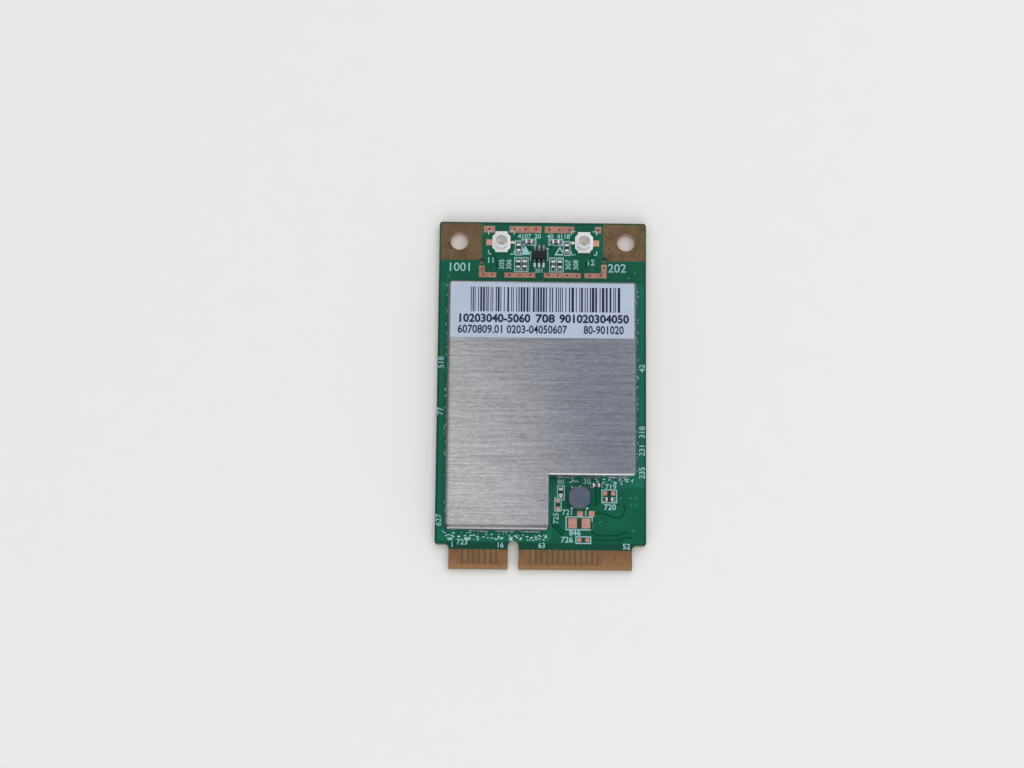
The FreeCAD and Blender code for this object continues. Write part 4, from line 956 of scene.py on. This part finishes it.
# count, edge they lie along, first and last place, nearest and farthest in mm, size
BEAD_RUNS = [
    (20, lid_low.y, FRONT, (-0.1, -0.5), 1.0), (60, lid_low.y, FRONT, (-0.4, -1.2), 1.2),
    (11, lid_low.y, FRONT, (-0.6, -1.1), 1.8), (12, step_y, LEFT_OF_INDUCTOR, (-0.1, -0.7), 1.0),
    (22, step_y, RIGHT_OF_INDUCTOR, (-0.1, -0.7), 1.2),
    (4, step_y, RIGHT_OF_INDUCTOR, (-0.5, -0.8), 1.6),
]
SIDE_BEADS = 40


def bead(x, y, length, width, height):
    """One bead of solder that stands on the board."""
    choose()
    bpy.ops.mesh.primitive_ico_sphere_add(subdivisions=2, radius=0.5,
                                          location=(x, y, BOARD_TOP),
                                          scale=(length, width, height))
    ball = bake_place(bpy.context.object)
    for vertex in ball.data.vertices:
        vertex.co.z = max(vertex.co.z, BOARD_TOP)
    ball.data.update()
    bpy.ops.object.shade_smooth()
    return ball


def foot_beads():
    draw = random.Random(11)
    beads = []
    for count, edge, (first, last), (near, far), size in BEAD_RUNS:
        for _ in range(count):
            x, y = draw.uniform(first, last), edge + draw.uniform(near, far) * MM
            length, width = draw.uniform(0.12, 0.45), draw.uniform(0.09, 0.22)
            beads.append(bead(x, y, length * size**0.5 * MM, width * size**1.5 * MM,
                              BEAD_HEIGHT * draw.uniform(0.5, 1.3)))
    for edge, outward, first in ((lid_low.x, -1, lid_low.y), (lid_high.x, 1, step_y)):
        for _ in range(SIDE_BEADS):
            x = edge + outward * draw.uniform(0.05, 0.35) * MM
            y = draw.uniform(first, lid_high.y)
            beads.append(bead(x, y, draw.uniform(0.08, 0.18) * MM, draw.uniform(0.15, 0.5) * MM,
                              BEAD_HEIGHT * draw.uniform(0.6, 1.4)))
    return beads


def tail_beads():
    """A bead on the tail of each socket's centre contact, which points to the centreline."""
    boxes = [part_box(f"socket_pin_{side}") for side in ("left", "right")]
    return [bead(min(low.x, high.x, key=abs), (low.y + high.y) / 2,
                 0.55 * MM, 0.5 * MM, 0.3 * MM) for low, high in boxes]


def terminal_beads():
    """Beads where the solder of the inductor's two terminals came out at their sides."""
    low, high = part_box("inductor_core")
    middle = (low.x + high.x) / 2
    spots = [(-1.1, low.y, 0.1), (1.1, low.y, 0.1), (-1.05, high.y, 0.1), (0.1, high.y, 0.2)]
    return [bead(middle + across * MM, edge + out * MM, 0.45 * MM, 0.4 * MM, 0.5 * MM)
            for across, edge, out in spots]


beads = foot_beads() + tail_beads() + terminal_beads()
finish_piece("solder_beads", beads, "bead_solder_glint")

# %% [markdown]
# Tracks run under the mask as low, soft ridges. Each is a curve with a small round section
# that is pressed flat, and then made a mesh. The mask runs thin and dark over them.

# %% Tracks under the mask
TRACK_WIDTH = 0.3 * MM
TRACK_HEIGHT = 0.016 * MM
TRACKS = [
    [(7.7, 8.0), (9.3, 8.0), (10.3, 7.5), (11.0, 7.4), (11.7, 7.8), (12.0, 8.6), (11.9, 9.2),
     (10.9, 9.3)],
    [(7.3, 6.9), (7.3, 5.4), (7.8, 4.9), (11.2, 4.9), (11.7, 5.3), (12.6, 5.3)],
    [(7.2, 4.2), (11.3, 4.2), (11.8, 4.6), (13.0, 4.6)],
    [(1.7, 7.6), (1.7, 6.3), (3.1, 4.9), (3.1, 4.6)], [(2.3, 6.6), (2.3, 6.3), (3.4, 5.2)],
    [(8.45, 12.6), (8.45, 9.7), (8.2, 9.4)], [(7.9, 12.2), (7.9, 9.1)],
    [(-7.3, 46.4), (-7.3, 45.9), (-6.6, 45.2), (-6.6, 44.2)],
    [(7.3, 46.4), (7.3, 45.9), (6.3, 44.9), (6.3, 44.2)],
    [(-4.6, 47.9), (-4.0, 47.6)], [(4.6, 47.9), (4.0, 47.6)],
    [(-2.5, 47.6), (-1.8, 46.9), (-1.15, 46.9)], [(1.4, 47.6), (0.7, 46.9), (0.15, 46.9)],
]


def track(points, level, width=TRACK_WIDTH):
    """One track through points in millimetres across and up the card."""
    curve = bpy.data.curves.new("track", "CURVE")
    curve.dimensions = "3D"
    curve.bevel_depth = width / 2
    curve.bevel_resolution = 1
    curve.use_fill_caps = True
    spline = curve.splines.new("POLY")
    spline.points.add(len(points) - 1)
    for target, (across, up) in zip(spline.points, points):
        target.co = (*on_card(across, up, 0), 1)
    line = bpy.data.objects.new("track", curve)
    bpy.context.collection.objects.link(line)
    choose(line)
    bpy.ops.object.convert(target="MESH")
    line = bpy.context.object
    line.scale.z = TRACK_HEIGHT / (width / 2)
    line.location.z = level
    return bake_place(line)


tracks = [track(points, BOARD_TOP) for points in TRACKS]
finish_piece("board_tracks", tracks, "mask_over_track")

# %% [markdown]
# The underside isn't in the picture. A card like this one has contacts there, holes that
# carry the radio chip's heat away, test pads that are read in the factory, and a framed
# field that stays free for a sticker. The figures are turned over, to be read from below.

# %% Underside
UNDER = board_low.z - FILM
PAD_RADIUS = 0.5 * MM
HEAT_PITCH = 0.95 * MM
TEST_PADS = [(-9.0 + 2.2 * k, 15.0 + 2.4 * (k % 2)) for k in range(9)]
UNDER_TRACK = 0.2 * MM
BEND_UP = 7.0
FIELD_LENGTH, FIELD_WIDTH = 20.0 * MM, 10.4 * MM


def heat_spots():
    """A square grid of holes below the radio chip."""
    low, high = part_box("radio_chip")
    middle = (low + high) / 2
    steps = [(k - 2) * HEAT_PITCH for k in range(5)]
    return [Vector((middle.x + x, middle.y + y, board_low.z)) for x in steps for y in steps]


def under_tracks():
    """Tracks that fan out from the contacts to the test pads."""
    lines = []
    for index, (across, up) in enumerate(TEST_PADS):
        foot = 0.8 + 1.2 * index if across > -4.5 else -12.0 + 1.6 * index
        points = [(foot, MASK_EDGE_UP), (foot, BEND_UP),
                  (across, BEND_UP + abs(foot - across)), (across, up)]
        lines.append(track(points, board_low.z, UNDER_TRACK))
    return lines


def under_number(figures, across, up, height, **settings):
    return number(figures, on_card(across, up, UNDER), height * MM, under=True, **settings)


pad_pattern = inset(disc(PAD_RADIUS, corners=20), PAD_RADIUS * 0.3, FILM * 0.6)
pad_places = [on_card(*place, board_low.z) for place in TEST_PADS]
for name, pattern, places, finish, slot in (
        ("under_pads", pad_pattern, pad_places, "pad_copper", "bare_copper"),
        ("under_via_rims", rim_pattern, heat_spots(), "pad_copper", "bare_copper"),
        ("under_via_mouths", dot_pattern, heat_spots(), "hole_shadow", "black_mould")):
    finish_piece(name, copies(pattern, places, under=True), finish)
    bpy.data.objects.remove(pattern)
finish_piece("under_tracks", under_tracks(), "mask_over_track")

under_print = outline(on_card(0.0, 33.6, UNDER), FIELD_LENGTH, FIELD_WIDTH, 2 * LINE)
for index, (across, up) in enumerate(TEST_PADS):
    under_print.append(under_number(str(len(TEST_PADS) - index), across, up + 1.2, 0.9))
under_print.append(under_number("2040", -9.0, 41.0, 1.6, bold=0.0))
under_print.append(under_number("60", 10.5, 41.0, 1.6, bold=0.0))
finish_piece("under_print", under_print, "white_ink")

# %% [markdown]
# The card lies on a plain pale floor under a wide, soft studio light. The world gives the
# even part of the light, a low, wide lamp in front makes the folded front edges of the
# shield shine, and a higher one behind gives the parts their shape. Both stand outside the
# mirror angle of the lid, so that the brushed metal stays grey. The floor lies a hair below
# the board, because the underside carries thin print too.

# %% Floor and light
FLOOR_SIZE = 3.0
FLOOR_GAP = 0.03 * MM
SKY_LIGHT, SKY_SEEN = 0.58, 0.92
FLOOR_LIGHT, FLOOR_DARK = (0.91, 0.91, 0.90, 1), (0.86, 0.86, 0.855, 1)


def floor_finish():
    finish = Finish("pale_floor")
    speck = finish.noise(0.004, detail=3.0)
    colour = finish.mix(speck * 0.3, FLOOR_LIGHT, FLOOR_DARK)
    return finish.set(Base_Color=colour, Roughness=0.65, Specular_IOR_Level=0.2)


def lamp(name, place, width, height, power):
    """A lamp that faces the card."""
    bpy.ops.object.light_add(type="AREA", location=place)
    light = bpy.context.object
    light.name = name
    light.data.shape = "RECTANGLE"
    light.data.size, light.data.size_y = width, height
    light.data.energy = power
    light.rotation_euler = (-Vector(place)).to_track_quat("-Z", "Y").to_euler()


choose()
bpy.ops.mesh.primitive_plane_add(size=FLOOR_SIZE, location=(0, 0, -FLOOR_GAP))
floor = bpy.context.object
floor.name = "floor"
floor.data.materials.append(floor_finish())

lamp("front_lamp", (0.02, -0.62, 0.27), 2.4, 0.45, 4.7)
lamp("back_lamp", (0.26, 0.42, 0.5), 1.0, 0.7, 1.7)

scene = bpy.context.scene
scene.view_settings.view_transform = "Standard"
world = scene.world or bpy.data.worlds.new("studio")
scene.world = world
world.use_nodes = True
sky = world.node_tree
backdrop = sky.nodes["Background"]
seen = sky.nodes.new("ShaderNodeLightPath")
strength = sky.nodes.new("ShaderNodeMapRange")
strength.inputs["To Min"].default_value = SKY_LIGHT
strength.inputs["To Max"].default_value = SKY_SEEN
sky.links.new(seen.outputs["Is Camera Ray"], strength.inputs["Value"])
sky.links.new(strength.outputs[0], backdrop.inputs["Strength"])
backdrop.inputs["Color"].default_value = (1, 1, 1, 1)
